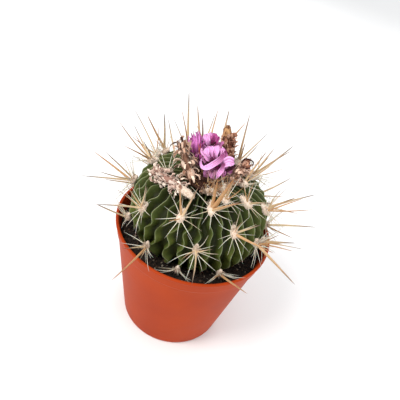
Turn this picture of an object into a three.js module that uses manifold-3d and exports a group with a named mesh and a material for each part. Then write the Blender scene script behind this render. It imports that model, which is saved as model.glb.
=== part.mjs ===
// A potted round cactus: a ribbed, spiny, globe-shaped plant in a thin nursery pot.
// Millimetres, +Z up. The origin is the middle of the pot's flat underside, and the
// front of the plant faces -Y. Headings are degrees turned from +X towards +Y.

import * as THREE from 'three';
import { mergeVertices } from 'three/addons/utils/BufferGeometryUtils.js';
import Module from 'manifold-3d';

const wasm = await Module();
wasm.setup();

// ---------------------------------------------------------------- driving dimensions

const GAP = 0.35;                 // air left between two pieces that rest on each other
const ROUND_SIDES = 44;           // facets round the pot and the soil

const POT_HEIGHT = 88;
const RIM_RADIUS = 52.5;
const COLLAR_RADIUS = 51;
const SHOULDER_RADIUS = 49.8;     // wall just under the collar
const BASE_RADIUS = 37;
const COLLAR_DROP = 9.5;          // from the rim down to the collar's lower edge
const WALL = 1.5;
const FLOOR = 2;
const DRAIN_COUNT = 8;
const DRAIN_RADIUS = 3.2;
const DRAIN_RING = 27;

const SOIL_TOP = 78.5;
const SOIL_RELIEF = 1;            // crumbs rise and sink by this much

const STEM_CENTRE = new THREE.Vector2(0, 4);
const STEM_RADIUS = 45;
const EQUATOR = 96;               // height of the stem's widest ring
const CROWN_RISE = 31;            // equator to the top
const CROWN_POWER = 2.9;          // how boxy the shoulder is
const FOOT_DROP = 30;             // equator to the buried tip
const FOOT_POWER = 2.2;
const DIMPLE_DEPTH = 3.5;
const DIMPLE_RADIUS = 12;

const RIB_COUNT = 34;
const RIB_DEPTH = 6;
const WAVE_LENGTH = 14.5;         // of a rib's sideways snaking
const WAVE_CALM = 0.07;           // its reach, as a share of the rib spacing
const WAVE_WILD = 0.18;           // and on the side that snakes most
const WILD_SIDE = 220;            // heading of that side
const CHIN_RISE = 1.1;            // a crest swells this much under each wool cushion
const CHIN_REACH = 5;
const PULL_REACH = 9;             // how far along a rib a cushion draws it sideways
const MOST_PULL = 0.5;

const CUSHION = new THREE.Vector3(2.1, 3.1, 1.8);   // half sizes: across, along, out
const CUSHION_BELLY = 0.25;       // its underside bulges this share of its top
const TUFT_SIDES = 6;             // facets round a cushion, each with one thin spine
const RADIAL_LENGTH = 15;
const RADIAL_HALF = 0.5;
const CENTRAL_HALF = 0.8;

const WOOL_CENTRE = new THREE.Vector2(1, -2);   // the flowers push the wool forwards
const WOOL_RADIUS = 13;
const WOOL_HEIGHT = 2.6;

// Wool cushions on the stem: [heading, arc from the top] and, after them, the long
// spines as [heading, rise above level, length]. An empty list takes the usual three.
const AREOLE_LIST = [
    { at: [283, 31], spines: [[246, 79, 24], [341, 77, 26], [320, 52, 26]] },
    { at: [304, 24], spines: [[275, 73, 24], [300, 60, 22], [225, 58, 18]] },
    { at: [331, 31], spines: [[222, 61, 20], [260, 73, 22], [303, 43, 24]] },
    { at: [1, 22], spines: [[39, 69, 24], [83, 60, 26], [20, 50, 20]] },
    { at: [28, 31], spines: [[338, 60, 34], [64, 30, 24], [323, 70, 20]] },
    { at: [198, 27], spines: [[248, 47, 20], [276, 58, 20], [215, 35, 20]] },
    { at: [257, 40], spines: [[206, 77, 24], [8, 79, 24], [252, 32, 18]] },
    { at: [304, 44], spines: [[275, 64, 18], [322, 55, 22], [325, 18, 26]] },
    { at: [350, 43], spines: [[326, 40, 34], [308, 56, 28], [280, 74, 24], [10, 40, 22]] },
    { at: [170, 40], spines: [[210, 50, 36], [224, 36, 24], [250, 55, 24], [150, 40, 24]] },
    { at: [140, 46], spines: [[189, 56, 29], [157, 79, 27], [115, 40, 26]] },
    { at: [224, 49], spines: [[228, 25, 34], [213, 58, 22], [290, 82, 22], [195, 40, 20]] },
    { at: [276, 55], spines: [[274, 13, 32], [311, 52, 18], [248, 20, 18]] },
    { at: [329, 57], spines: [[309, 8, 36], [330, 30, 24], [300, 48, 26]] },
    { at: [185, 53], spines: [[203, 4, 32], [221, 25, 26], [220, 50, 26], [172, 30, 24]] },
    { at: [239, 69], spines: [[252, 4, 34], [240, 30, 22], [270, 25, 18]] },
    { at: [267, 76], spines: [] },
    { at: [301, 75], spines: [[281, 30, 34], [320, 30, 22], [250, 32, 18]] },
    { at: [345, 64], spines: [[318, 42, 26], [345, 22, 26], [300, 60, 18]] },
    { at: [205, 70], spines: [[220, 38, 26], [200, 26, 22]] },
    { at: [58, 31], spines: [[213, 85, 36], [264, 64, 24], [40, 50, 26]] },
    { at: [84, 24], spines: [[94, 32, 34], [60, 40, 28]] },
    { at: [110, 31], spines: [[268, 70, 30], [120, 45, 28], [80, 50, 24]] },
    { at: [136, 24], spines: [[120, 61, 38], [206, 71, 32], [160, 50, 22]] },
];

// The rest of the far side follows two zigzag rows.
const BACK_ROWS = [
    { count: 6, first: 18, step: 26.4, arc: 52, zigzag: 5 },
    { count: 6, first: 8, step: 32.8, arc: 64.5, zigzag: 1.5 },
];

// A petal's half width is a share of the mouth; its curl, a share of the length.
const FLOWERS = [
    { name: 'flower_1', base: [1, 6], heading: 290, rise: 68, length: 18, mouth: 12,
        petals: 7, half: 0.26, curl: 0.18 },
    { name: 'flower_2', base: [-7, 9], heading: 152, rise: 64, length: 20, mouth: 6.5,
        petals: 8, half: 0.19, curl: 0 },
    { name: 'flower_3', base: [-1, 15], heading: 115, rise: 68, length: 19, mouth: 8,
        petals: 7, half: 0.25, curl: 0.06 },
];

const DRIED_FLOWERS = [
    { name: 'dried_flower_1', base: [-7, -20], heading: 156, rise: 3, length: 29, half: 4.2 },
    { name: 'dried_flower_2', base: [-9, -11], heading: 128, rise: 40, length: 27, half: 4 },
    { name: 'dried_flower_3', base: [13, 0], heading: 62, rise: 26, length: 24, half: 3.8 },
    { name: 'dried_flower_4', base: [10, 22], heading: 128, rise: 65, length: 24, half: 4.4 },
];

// ------------------------------------------------------------------------- small tools

const { clamp, degToRad, radToDeg, lerp, smoothstep, euclideanModulo } = THREE.MathUtils;

// A repeatable draw between 0 and 1 for any number.
function draw(number) {
    const value = Math.sin(number * 12.9898) * 43758.5453;
    return value - Math.floor(value);
}

function direction(heading, rise) {
    const turn = degToRad(heading);
    const lift = degToRad(rise);
    return new THREE.Vector3(
        Math.cos(lift) * Math.cos(turn), Math.cos(lift) * Math.sin(turn), Math.sin(lift));
}

// Shared corners only, and no triangle that has shrunk to a line.
function welded(geometry) {
    geometry.deleteAttribute('normal');
    geometry.deleteAttribute('uv');
    const merged = mergeVertices(geometry, 1e-4);
    const kept = [];
    for (let i = 0; i < merged.index.count; i += 3) {
        const [a, b, c] = [0, 1, 2].map((corner) => merged.index.getX(i + corner));
        if (a !== b && b !== c && c !== a) kept.push(a, b, c);
    }
    merged.setIndex(kept);
    return merged;
}

function solidOf(geometry) {
    const merged = welded(geometry);
    return new wasm.Manifold(new wasm.Mesh({
        numProp: 3,
        vertProperties: new Float32Array(merged.attributes.position.array),
        triVerts: new Uint32Array(merged.index.array),
    }));
}

function geometryOf(solid) {
    const mesh = solid.getMesh();
    const geometry = new THREE.BufferGeometry();
    geometry.setAttribute('position', new THREE.BufferAttribute(mesh.vertProperties, 3));
    geometry.setIndex(new THREE.BufferAttribute(mesh.triVerts, 1));
    return geometry;
}

// Cutting can leave loose scraps: only the biggest piece stays.
function biggest(solid) {
    return solid.decompose().reduce((a, b) => (a.volume() > b.volume() ? a : b));
}

function lathe(profile, sides) {
    const points = profile.map(([radius, height]) => new THREE.Vector2(radius, height));
    return new THREE.LatheGeometry(points, sides).rotateX(Math.PI / 2);
}

// A pointed body drawn through rings of corners, closed flat at its root.
function taper(rings, tip) {
    const sides = rings[0].length;
    const corners = [...rings.flat(), tip];
    const faces = [];
    for (let k = 1; k < sides - 1; k++) faces.push(0, k + 1, k);
    for (let ring = 0; ring < rings.length; ring++) {
        for (let k = 0; k < sides; k++) {
            const here = ring * sides + k;
            const beside = ring * sides + (k + 1) % sides;
            if (ring === rings.length - 1) {
                faces.push(here, beside, corners.length - 1);
            } else {
                faces.push(here, beside, beside + sides);
                faces.push(here, beside + sides, here + sides);
            }
        }
    }
    const geometry = new THREE.BufferGeometry().setFromPoints(corners);
    geometry.setIndex(faces);
    return geometry;
}

// A blade along a path: a flat diamond section whose edges may be lifted by `cup`.
function blade(path, across, halfWidth, halfThickness, cup = 0) {
    const rings = path.slice(0, -1).map((point, row) => {
        const share = row / (path.length - 1);
        const along = path[row + 1].clone().sub(point).normalize();
        const out = along.clone().cross(across).normalize();
        const side = out.clone().cross(along);
        const width = halfWidth(share);
        const thickness = halfThickness(share);
        const corner = (sideways, outwards) => point.clone()
            .addScaledVector(side, sideways).addScaledVector(out, outwards);
        return [corner(-width, cup * width), corner(0, -thickness),
            corner(width, cup * width), corner(0, thickness)];
    });
    return taper(rings, path.at(-1));
}

// --------------------------------------------------------------------- the stem's form

// Half outline of the rib crests from the dimpled top to the buried tip.
function crestOutline() {
    const steps = 360;
    const outline = [];
    for (let i = 0; i <= steps; i++) {
        const turn = Math.PI * (0.5 - i / steps);
        const power = 2 / (turn > 0 ? CROWN_POWER : FOOT_POWER);
        const reach = turn > 0 ? CROWN_RISE : FOOT_DROP;
        const radius = STEM_RADIUS * Math.max(Math.cos(turn), 0) ** power;
        const dimple = turn > 0 ? DIMPLE_DEPTH * (1 - smoothstep(radius, 0, DIMPLE_RADIUS)) : 0;
        const height = EQUATOR + Math.sign(turn) * reach * Math.abs(Math.sin(turn)) ** power;
        outline.push({ radius: i === steps ? 0 : radius, height: height - dimple, arc: 0 });
    }
    outline[0].radius = 0;
    for (let i = 1; i <= steps; i++) {
        const [from, to] = [outline[i - 1], outline[i]];
        to.arc = from.arc + Math.hypot(to.radius - from.radius, to.height - from.height);
    }
    return outline;
}

const OUTLINE = crestOutline();
const WHOLE_ARC = OUTLINE.at(-1).arc;

// Radius, height and outward slope of the crest outline, a distance down from the top.
function outlineAt(arc) {
    const found = OUTLINE.findIndex((point) => point.arc >= clamp(arc, 0, WHOLE_ARC));
    const next = Math.max(found, 1);
    const [from, to] = [OUTLINE[next - 1], OUTLINE[next]];
    const span = to.arc - from.arc;
    const share = (clamp(arc, 0, WHOLE_ARC) - from.arc) / span;
    return {
        radius: lerp(from.radius, to.radius, share),
        height: lerp(from.height, to.height, share),
        outRadius: (from.height - to.height) / span,
        outHeight: (to.radius - from.radius) / span,
    };
}

const AREOLES = [];

// How far a rib snakes to the side: most on one side of the stem and near the soil.
function ribWave(rib, arc) {
    const facing = Math.cos(2 * Math.PI * rib / RIB_COUNT - degToRad(WILD_SIDE));
    const share = lerp(WAVE_CALM, WAVE_WILD, smoothstep(facing, 0.2, 0.8));
    const reach = share * smoothstep(arc, 12, 42) * (1 + 0.25 * smoothstep(arc, 60, 84));
    const step = WAVE_LENGTH * (1 + 0.12 * Math.sin(0.9 * rib));
    const turn = 2 * Math.PI * arc / step + 0.85 * rib + 1.5 * Math.sin(1.7 * rib);
    return reach * (Math.sin(turn) + 0.25 * Math.sin(1.63 * turn + 2 * rib));
}

// Where a rib's crest runs, counted in rib spacings round the stem.
function crestPlace(rib, arc) {
    let place = rib + ribWave(rib, arc);
    for (const areole of AREOLES) {
        const apart = Math.abs(areole.rib - rib);
        const ribsAway = Math.min(apart, RIB_COUNT - apart);
        const hold = [1, 0.45][ribsAway] ?? 0;
        place += areole.pull * hold * Math.exp(-(((arc - areole.arc) / PULL_REACH) ** 2));
    }
    return place;
}

function chin(rib, arc) {
    let rise = 0;
    for (const areole of AREOLES) {
        if (areole.rib === rib) rise += Math.exp(-(((arc - areole.arc) / CHIN_REACH) ** 2));
    }
    return CHIN_RISE * Math.min(rise, 1);
}

function ribDepth(arc) {
    const fadeIn = smoothstep(arc, 4, 26);
    const fadeOut = 1 - smoothstep(arc, 76, WHOLE_ARC);
    return RIB_DEPTH * fadeIn * fadeOut;
}

function stemPoint(place, arc, outwards) {
    const spot = outlineAt(arc);
    const heading = 2 * Math.PI * place / RIB_COUNT;
    const radius = spot.radius > 0 ? Math.max(spot.radius + outwards * spot.outRadius, 0) : 0;
    return new THREE.Vector3(
        STEM_CENTRE.x + radius * Math.cos(heading),
        STEM_CENTRE.y + radius * Math.sin(heading),
        spot.height + outwards * spot.outHeight);
}

function addAreole(heading, arc, spines) {
    const wanted = euclideanModulo(heading, 360) / 360 * RIB_COUNT;
    const rib = Math.round(wanted) % RIB_COUNT;
    const aside = euclideanModulo(wanted - rib + 1, RIB_COUNT) - 1;
    const pull = clamp(aside - ribWave(rib, arc), -MOST_PULL, MOST_PULL);
    AREOLES.push({ rib, arc, pull, spines });
}

function placeAreoles() {
    for (const { at, spines } of AREOLE_LIST) addAreole(at[0], at[1], spines);
    for (const { count, first, step, arc, zigzag } of BACK_ROWS) {
        for (let k = 0; k < count; k++) {
            addAreole(first + step * k, arc + zigzag * (k % 2 ? -1 : 1), []);
        }
    }
    for (const areole of AREOLES) {
        const { rib, arc } = areole;
        const place = crestPlace(rib, arc);
        const spot = outlineAt(arc);
        const heading = 2 * Math.PI * place / RIB_COUNT;
        areole.point = stemPoint(place, arc, chin(rib, arc));
        areole.heading = heading;
        areole.out = new THREE.Vector3(spot.outRadius * Math.cos(heading),
            spot.outRadius * Math.sin(heading), spot.outHeight).normalize();
        areole.across = new THREE.Vector3(-Math.sin(heading), Math.cos(heading), 0);
        areole.up = areole.out.clone().cross(areole.across);
        areole.seat = areole.point.clone()
            .addScaledVector(areole.out, GAP + CUSHION_BELLY * CUSHION.z);
    }
}

// Each rib has three columns of corners: its crest and both sides of the next valley.
function stemGeometry(outwards, valleyShare) {
    const valleys = [0, 0.37, 0.63];
    const columns = RIB_COUNT * valleys.length;
    const shownRows = 21;
    const shownStep = 4;
    const buriedArcs = [91, 104];
    const arcs = [...Array.from({ length: shownRows }, (_, row) => row * shownStep),
        ...buriedArcs, WHOLE_ARC];
    const geometry = new THREE.SphereGeometry(1, columns, arcs.length - 1);
    const position = geometry.attributes.position;
    arcs.forEach((arc, row) => {
        for (let column = 0; column <= columns; column++) {
            const step = column % columns;
            const rib = Math.floor(step / valleys.length);
            const share = valleys[step % valleys.length];
            const next = (rib + 1) % RIB_COUNT;
            const here = crestPlace(rib, arc);
            const there = crestPlace(next, arc) + (next === 0 ? RIB_COUNT : 0);
            const rise = share === 0 ? chin(rib, arc) : -ribDepth(arc) * valleyShare;
            const point = stemPoint(lerp(here, there, share), arc, outwards + rise);
            position.setXYZ(row * (columns + 1) + column, point.x, point.y, point.z);
        }
    });
    return geometry;
}

// ------------------------------------------------------------------------ pot and soil

function potWallRadius(height) {
    const share = height / (POT_HEIGHT - COLLAR_DROP);
    return lerp(BASE_RADIUS, SHOULDER_RADIUS, share);
}

function potGeometry() {
    const collar = POT_HEIGHT - COLLAR_DROP;
    const inside = (height) => potWallRadius(height) - WALL;
    const profile = [
        [0, 0], [BASE_RADIUS - 1.5, 0], [BASE_RADIUS, 1.5],
        [SHOULDER_RADIUS, collar - 0.6], [COLLAR_RADIUS - 0.3, collar + 0.4],
        [COLLAR_RADIUS + 0.6, POT_HEIGHT - 2.2], [RIM_RADIUS - 0.3, POT_HEIGHT - 1.5],
        [RIM_RADIUS, POT_HEIGHT - 0.8], [RIM_RADIUS - 0.5, POT_HEIGHT],
        [COLLAR_RADIUS - 0.4, POT_HEIGHT], [COLLAR_RADIUS - 1, POT_HEIGHT - 2],
        [inside(collar), collar], [inside(FLOOR + 1.5), FLOOR + 1.5],
        [inside(FLOOR) - 2, FLOOR], [0, FLOOR],
    ];
    let pot = solidOf(lathe(profile, ROUND_SIDES));
    for (let k = 0; k < DRAIN_COUNT; k++) {
        const turn = 2 * Math.PI * k / DRAIN_COUNT;
        const drain = new THREE.CylinderGeometry(DRAIN_RADIUS, DRAIN_RADIUS, 4 * FLOOR, 8);
        drain.rotateX(Math.PI / 2);
        drain.translate(DRAIN_RING * Math.cos(turn), DRAIN_RING * Math.sin(turn), FLOOR / 2);
        pot = pot.subtract(solidOf(drain));
    }
    return geometryOf(pot);
}

// Crumbly relief of the soil's surface.
function soilRelief(x, y) {
    const coarse = Math.sin(0.71 * x + 1.3 * Math.sin(0.33 * y)) * Math.cos(0.63 * y + 0.4 * x);
    const fine = draw(Math.round(x * 3) + 91.7 * Math.round(y * 3)) - 0.5;
    return SOIL_RELIEF * (0.6 * coarse + 0.8 * fine);
}

// The soil fills the pot and holds the buried part of the stem in a round hole.
function soilGeometry() {
    const holeRoom = 0.8;
    const wallGap = 0.4;
    const inside = (height) => potWallRadius(height) - WALL - wallGap;
    const hole = [];
    for (const arc of [83, 90, 97, 104, 111]) {
        const spot = outlineAt(arc);
        hole.push([spot.radius + holeRoom * spot.outRadius, spot.height + holeRoom * spot.outHeight]);
    }
    const bottom = EQUATOR - FOOT_DROP - holeRoom;
    const brim = outlineAt(82).radius + holeRoom;
    const profile = [
        [0, FLOOR + GAP], [inside(FLOOR) - 2.2, FLOOR + GAP], [inside(FLOOR + 2), FLOOR + 2],
        [inside(SOIL_TOP), SOIL_TOP - 0.8], [inside(SOIL_TOP) - 1.5, SOIL_TOP],
        [lerp(brim, inside(SOIL_TOP), 0.5), SOIL_TOP + 0.3], [brim + 0.9, SOIL_TOP],
        ...hole, [0, bottom],
    ];
    const geometry = lathe(profile, ROUND_SIDES);
    // The hole follows the stem, which stands off the pot's middle; the wall doesn't.
    const position = geometry.attributes.position;
    for (let i = 0; i < position.count; i++) {
        const [x, y, z] = [position.getX(i), position.getY(i), position.getZ(i)];
        const ring = i % profile.length;
        if (ring >= 6) position.setXYZ(i, x + STEM_CENTRE.x, y + STEM_CENTRE.y, z);
        if (ring >= 4 && ring <= 6) position.setZ(i, z + soilRelief(x, y));
    }
    return geometry;
}

// ------------------------------------------------------------------- crown and flowers

const STEM_CUT = () => solidOf(stemGeometry(0.45, 0.86));

// A low pad of wool that follows the crown; each profile height is its rise above that.
function woolGeometry(outwards) {
    const profile = [
        [0, 0.15 - outwards], [0.3 * WOOL_RADIUS, 0.15 - outwards],
        [0.6 * WOOL_RADIUS, 0.15 - outwards], [0.92 * WOOL_RADIUS, 0.15 - outwards],
        [WOOL_RADIUS + outwards, 0.7 + 0.6 * outwards],
        [0.86 * WOOL_RADIUS + outwards, 0.8 * WOOL_HEIGHT + 1.3 * outwards],
        [0.5 * WOOL_RADIUS + outwards, WOOL_HEIGHT + 1.3 * outwards],
        [0, WOOL_HEIGHT + 1.3 * outwards],
    ];
    const geometry = lathe(profile, 16).translate(WOOL_CENTRE.x, WOOL_CENTRE.y, GAP);
    const position = geometry.attributes.position;
    for (let i = 0; i < position.count; i++) {
        const [x, y, z] = [position.getX(i), position.getY(i), position.getZ(i)];
        position.setZ(i, z + crownHeightAt(x, y));
    }
    return geometry;
}

function frameAt(base, axis) {
    const level = new THREE.Vector3(-axis.y, axis.x, 0).normalize();
    const other = axis.clone().cross(level);
    return new THREE.Matrix4().makeBasis(level, other, axis).setPosition(base);
}

// A funnel flower: a tube that opens into two whorls of petals that curl back.
function flowerSolid(flower) {
    const { length, mouth, half, curl } = flower;
    const tube = [[0, -2], [1.9, -1], [2.1, 0.3 * length], [2.7, 0.42 * length],
        [0, 0.36 * length]];
    const whorls = [
        { count: flower.petals, reach: mouth, root: 2.1, low: 0.3 },
        { count: flower.petals - 2, reach: 0.6 * mouth, root: 0.9, low: 0.36 },
    ];
    let solid = solidOf(lathe(tube, 8));
    whorls.forEach(({ count, reach, root, low }, layer) => {
        for (let k = 0; k < count; k++) {
            const turn = 2 * Math.PI * (k + 0.5 * layer) / count;
            const spread = reach * (1 + 0.14 * (draw(k + 17 * layer + length) - 0.5));
            const away = new THREE.Vector3(Math.cos(turn), Math.sin(turn), 0);
            const across = new THREE.Vector3(-away.y, away.x, 0);
            const path = [0, 0.35, 0.7, 0.92, 1].map((share) => away.clone()
                .multiplyScalar(root + (spread - root) * share ** 1.35)
                .setZ(length * (lerp(low, 1, share) - 0.05 * layer - curl * share ** 4)));
            const width = (share) => mouth * [0.04, 0.75 * half, half, 0.6 * half][share * 4];
            solid = solid.add(solidOf(blade(path, across, width, () => 0.38, 0.25)));
        }
    });
    return solid;
}

function flowerRoom(flower, extra) {
    const { length, mouth, curl } = flower;
    const profile = [[0, -3], [2.6 + extra, -3], [2.8 + extra, 0.3 * length],
        [0.62 * mouth + extra, (0.78 - curl) * length],
        [1.1 * mouth + extra, (0.98 - curl) * length],
        [1.1 * mouth + extra, 1.02 * length], [0, 1.03 * length + extra]];
    return solidOf(lathe(profile, 12));
}

// A withered flower: narrow crumpled petals twisted round a slim core.
function driedSolid(dried, seed) {
    const { length, half } = dried;
    const core = [[0, -1.5], [1.6, -1], [0.5 * half, 0.3 * length], [0.45 * half, 0.6 * length],
        [0, 0.9 * length]];
    let solid = solidOf(lathe(core, 7));
    const count = 6;
    for (let k = 0; k < count; k++) {
        const start = 2 * Math.PI * k / count;
        const twist = 1.1 + 1.2 * draw(seed + k);
        const reach = half * (0.75 + 0.25 * draw(seed + 31 * k));
        const path = [0.05, 0.4, 0.75, 1].map((share, row) => {
            const turn = start + twist * share;
            const radius = [0.8, 0.9 * reach, reach, 0.6 * reach][row];
            return new THREE.Vector3(radius * Math.cos(turn), radius * Math.sin(turn),
                length * share * (0.86 + 0.14 * draw(seed + 7 * k)));
        });
        const across = new THREE.Vector3(-Math.sin(start + 1), Math.cos(start + 1), 0.1);
        const width = (share) => [0.9, 1.7, 1.2][Math.round(share * 3)];
        solid = solid.add(solidOf(blade(path, across, width, () => 0.4, -0.3)));
    }
    return solid;
}

function driedRoom(dried, extra) {
    const { length, half } = dried;
    const profile = [[0, -2.5], [2.5 + extra, -2.5], [half + 1.4 + extra, 0.35 * length],
        [half + 1.4 + extra, 0.85 * length], [1 + extra, 1.04 * length], [0, 1.05 * length + extra]];
    return solidOf(lathe(profile, 10));
}

function crownHeightAt(x, y) {
    const away = Math.hypot(x - STEM_CENTRE.x, y - STEM_CENTRE.y);
    const point = OUTLINE.find(({ radius }) => radius >= away);
    return point.height;
}

// Places the flowers and the withered ones, each cut clear of what came before.
function crownPieces() {
    const taken = [STEM_CUT(), solidOf(woolGeometry(GAP))];
    const pieces = [];
    const place = (item, solid, room, wide) => {
        const [x, y] = item.base;
        const axis = direction(item.heading, item.rise);
        const base = new THREE.Vector3(x, y, crownHeightAt(x, y) + 1.2);
        const matrix = frameAt(base, axis);
        let placed = solid.transform(matrix.elements);
        for (const other of taken) placed = placed.subtract(other);
        pieces.push({ name: item.name, solid: biggest(placed) });
        taken.push(room.transform(matrix.elements));
        const shaft = new THREE.Line3(base, base.clone().addScaledVector(axis, item.length * 0.55));
        const head = new THREE.Line3(shaft.end, base.clone().addScaledVector(axis, item.length));
        OBSTACLES.push({ line: shaft, radius: 0.6 * wide }, { line: head, radius: wide });
    };
    for (const flower of FLOWERS) {
        place(flower, flowerSolid(flower), flowerRoom(flower, GAP), flower.mouth);
    }
    DRIED_FLOWERS.forEach((dried, index) => {
        place(dried, driedSolid(dried, 40 * index + 3), driedRoom(dried, GAP), dried.half + 1.2);
    });
    return pieces;
}

// ----------------------------------------------------------------- wool and its spines

const OBSTACLES = [];             // straight rods with a radius that spines keep clear of

// Shortest distance between two straight stretches.
function stretchGap(one, two) {
    const along = one.delta(new THREE.Vector3());
    const other = two.delta(new THREE.Vector3());
    const between = one.start.clone().sub(two.start);
    const [a, b, c] = [along.dot(along), along.dot(other), along.dot(between)];
    const [e, f] = [other.dot(other), other.dot(between)];
    const spread = a * e - b * b;
    let s = spread > 1e-9 ? clamp((b * f - c * e) / spread, 0, 1) : 0;
    let t = (b * s + f) / e;
    if (t < 0) {
        t = 0;
        s = clamp(-c / a, 0, 1);
    } else if (t > 1) {
        t = 1;
        s = clamp((b - c) / a, 0, 1);
    }
    return one.at(s, new THREE.Vector3()).distanceTo(two.at(t, new THREE.Vector3()));
}

function clearOfPot(point, room) {
    const away = Math.hypot(point.x, point.y);
    if (away < potWallRadius(point.z) - WALL - 0.5 - room) {
        return point.z > SOIL_TOP + SOIL_RELIEF + 0.5 + room;
    }
    return point.z > POT_HEIGHT + 0.6 + room || away > RIM_RADIUS + 0.6 + room;
}

function clearOfStem(point, room) {
    const away = Math.hypot(point.x - STEM_CENTRE.x, point.y - STEM_CENTRE.y);
    return OUTLINE.every(({ radius, height }, index) => {
        if (index % 6) return true;
        const inside = away < radius && Math.abs(point.z - EQUATOR) < Math.abs(height - EQUATOR);
        return !inside && Math.hypot(away - radius, point.z - height) > room;
    });
}

function spineIsClear(line, halfWidth, owner) {
    const air = 0.5;
    for (const { line: other, radius, owner: whose } of OBSTACLES) {
        if (whose === owner) continue;
        if (stretchGap(line, other) < radius + halfWidth + air) return false;
    }
    const length = line.distance();
    for (let walked = 1; walked <= length + 1; walked += 1.5) {
        const point = line.at(Math.min(walked / length, 1), new THREE.Vector3());
        if (!clearOfPot(point, halfWidth)) return false;
        if (walked > 3 && !clearOfStem(point, halfWidth + 0.5)) return false;
    }
    return true;
}

// Turns, lifts and at last shortens a spine until it misses everything placed before.
function fittedSpine(root, aim, length, areole, halfWidth, owner) {
    for (const share of [1, 0.8, 0.6]) {
        for (const lift of [0, 8, 16, 26, 38]) {
            for (const turn of [0, 10, -10, 20, -20, 32, -32]) {
                const way = aim.clone().applyAxisAngle(areole.out, degToRad(turn));
                way.lerp(areole.out, lift / 60);
                way.z += lift * 0.006;
                way.normalize();
                const tip = root.clone().addScaledVector(way, length * share);
                const line = new THREE.Line3(root, tip);
                if (spineIsClear(line, halfWidth, owner)) return line;
            }
        }
    }
    return null;
}

// A domed tuft of wool whose nearly flat underside lies on the rib's crest. It is kept
// as open lists of corners and faces, so that spines can be drawn out of its facets.
function tuft(areole) {
    const levels = [
        { reach: 0.68, rise: 0.74 }, { reach: 1, rise: 0.1 },
        { reach: 0.7, rise: -0.7 * CUSHION_BELLY },
    ];
    const place = (sideways, upwards, outwards) => areole.seat.clone()
        .addScaledVector(areole.across, sideways * CUSHION.x)
        .addScaledVector(areole.up, upwards * CUSHION.y)
        .addScaledVector(areole.out, outwards * CUSHION.z);
    const corners = [place(0, 0, 1)];
    for (const { reach, rise } of levels) {
        for (let k = 0; k < TUFT_SIDES; k++) {
            const turn = 2 * Math.PI * k / TUFT_SIDES;
            corners.push(place(reach * Math.cos(turn), reach * Math.sin(turn), rise));
        }
    }
    corners.push(place(0, 0, -CUSHION_BELLY));
    const at = (level, k) => 1 + level * TUFT_SIDES + k % TUFT_SIDES;
    const [tops, flanks, rest] = [[], [], []];
    for (let k = 0; k < TUFT_SIDES; k++) {
        tops.push([0, at(0, k), at(0, k + 1)]);
        flanks.push([at(0, k), at(1, k), at(1, k + 1)]);
        rest.push([at(0, k), at(1, k + 1), at(0, k + 1)]);
        rest.push([at(1, k), at(2, k), at(2, k + 1)], [at(1, k), at(2, k + 1), at(1, k + 1)]);
        rest.push([at(2, k), corners.length - 1, at(2, k + 1)]);
    }
    return { corners, tops, flanks, faces: rest };
}

function facetMiddle(corners, facet) {
    return facet.reduce((sum, corner) => sum.add(corners[corner]), new THREE.Vector3())
        .divideScalar(3);
}

// Draws a spine out of one facet: a smaller triangle inside it becomes the root.
function growSpine(pad, facet, tip, share) {
    const middle = facetMiddle(pad.corners, facet);
    const start = pad.corners.length;
    for (const corner of facet) pad.corners.push(middle.clone().lerp(pad.corners[corner], share));
    pad.corners.push(tip);
    for (let k = 0; k < 3; k++) {
        const next = (k + 1) % 3;
        pad.faces.push([facet[k], facet[next], start + next], [facet[k], start + next, start + k]);
        pad.faces.push([start + k, start + next, start + 3]);
    }
}

// The long spines an areole has unless the front list names them.
function usualCentrals(areole, seed) {
    const rise = radToDeg(Math.asin(areole.out.z));
    const heading = radToDeg(areole.heading);
    return [
        [heading + 16 * (draw(seed) - 0.5), lerp(rise, 40, 0.35) + 8 * draw(seed + 5), 33],
        [heading + 38 + 10 * draw(seed + 1), lerp(rise, 45, 0.4), 21],
        [heading - 38 - 10 * draw(seed + 2), lerp(rise, 45, 0.4), 20],
    ];
}

// Each long spine takes the free top facet that leans most its way.
function growCentrals(pad, areole, owner) {
    const wanted = areole.spines.length ? areole.spines : usualCentrals(areole, 10 * owner + 1);
    for (const [heading, rise, length] of wanted) {
        const aim = direction(heading, rise);
        const lean = (facet) => facetMiddle(pad.corners, facet).sub(areole.seat).dot(aim);
        pad.tops.sort((a, b) => lean(b) - lean(a));
        const root = facetMiddle(pad.corners, pad.tops[0]);
        const line = fittedSpine(root, aim, length, areole, CENTRAL_HALF, owner);
        if (!line) continue;
        growSpine(pad, pad.tops.shift(), line.end, 0.85);
        OBSTACLES.push({ line, radius: CENTRAL_HALF, owner });
    }
}

// Thin spines spread all round, low over the ribs, one from each flank facet.
function growRadials(pad, areole, owner) {
    const seed = 10 * owner + 3;
    for (const [k, facet] of pad.flanks.entries()) {
        const turn = 2 * Math.PI * (k + 0.5 + 0.4 * (draw(seed + k) - 0.5)) / TUFT_SIDES;
        const lift = degToRad(20 + 8 * draw(seed + 3 * k));
        const aim = areole.out.clone().multiplyScalar(Math.sin(lift))
            .addScaledVector(areole.across, Math.cos(lift) * Math.cos(turn))
            .addScaledVector(areole.up, Math.cos(lift) * Math.sin(turn));
        const root = facetMiddle(pad.corners, facet);
        const length = RADIAL_LENGTH * (0.85 + 0.3 * draw(seed + 5 * k));
        const line = fittedSpine(root, aim, length, areole, RADIAL_HALF, owner);
        if (!line) {
            pad.faces.push(facet);
            continue;
        }
        growSpine(pad, facet, line.end, 0.55);
        OBSTACLES.push({ line, radius: RADIAL_HALF, owner });
    }
}

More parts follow.
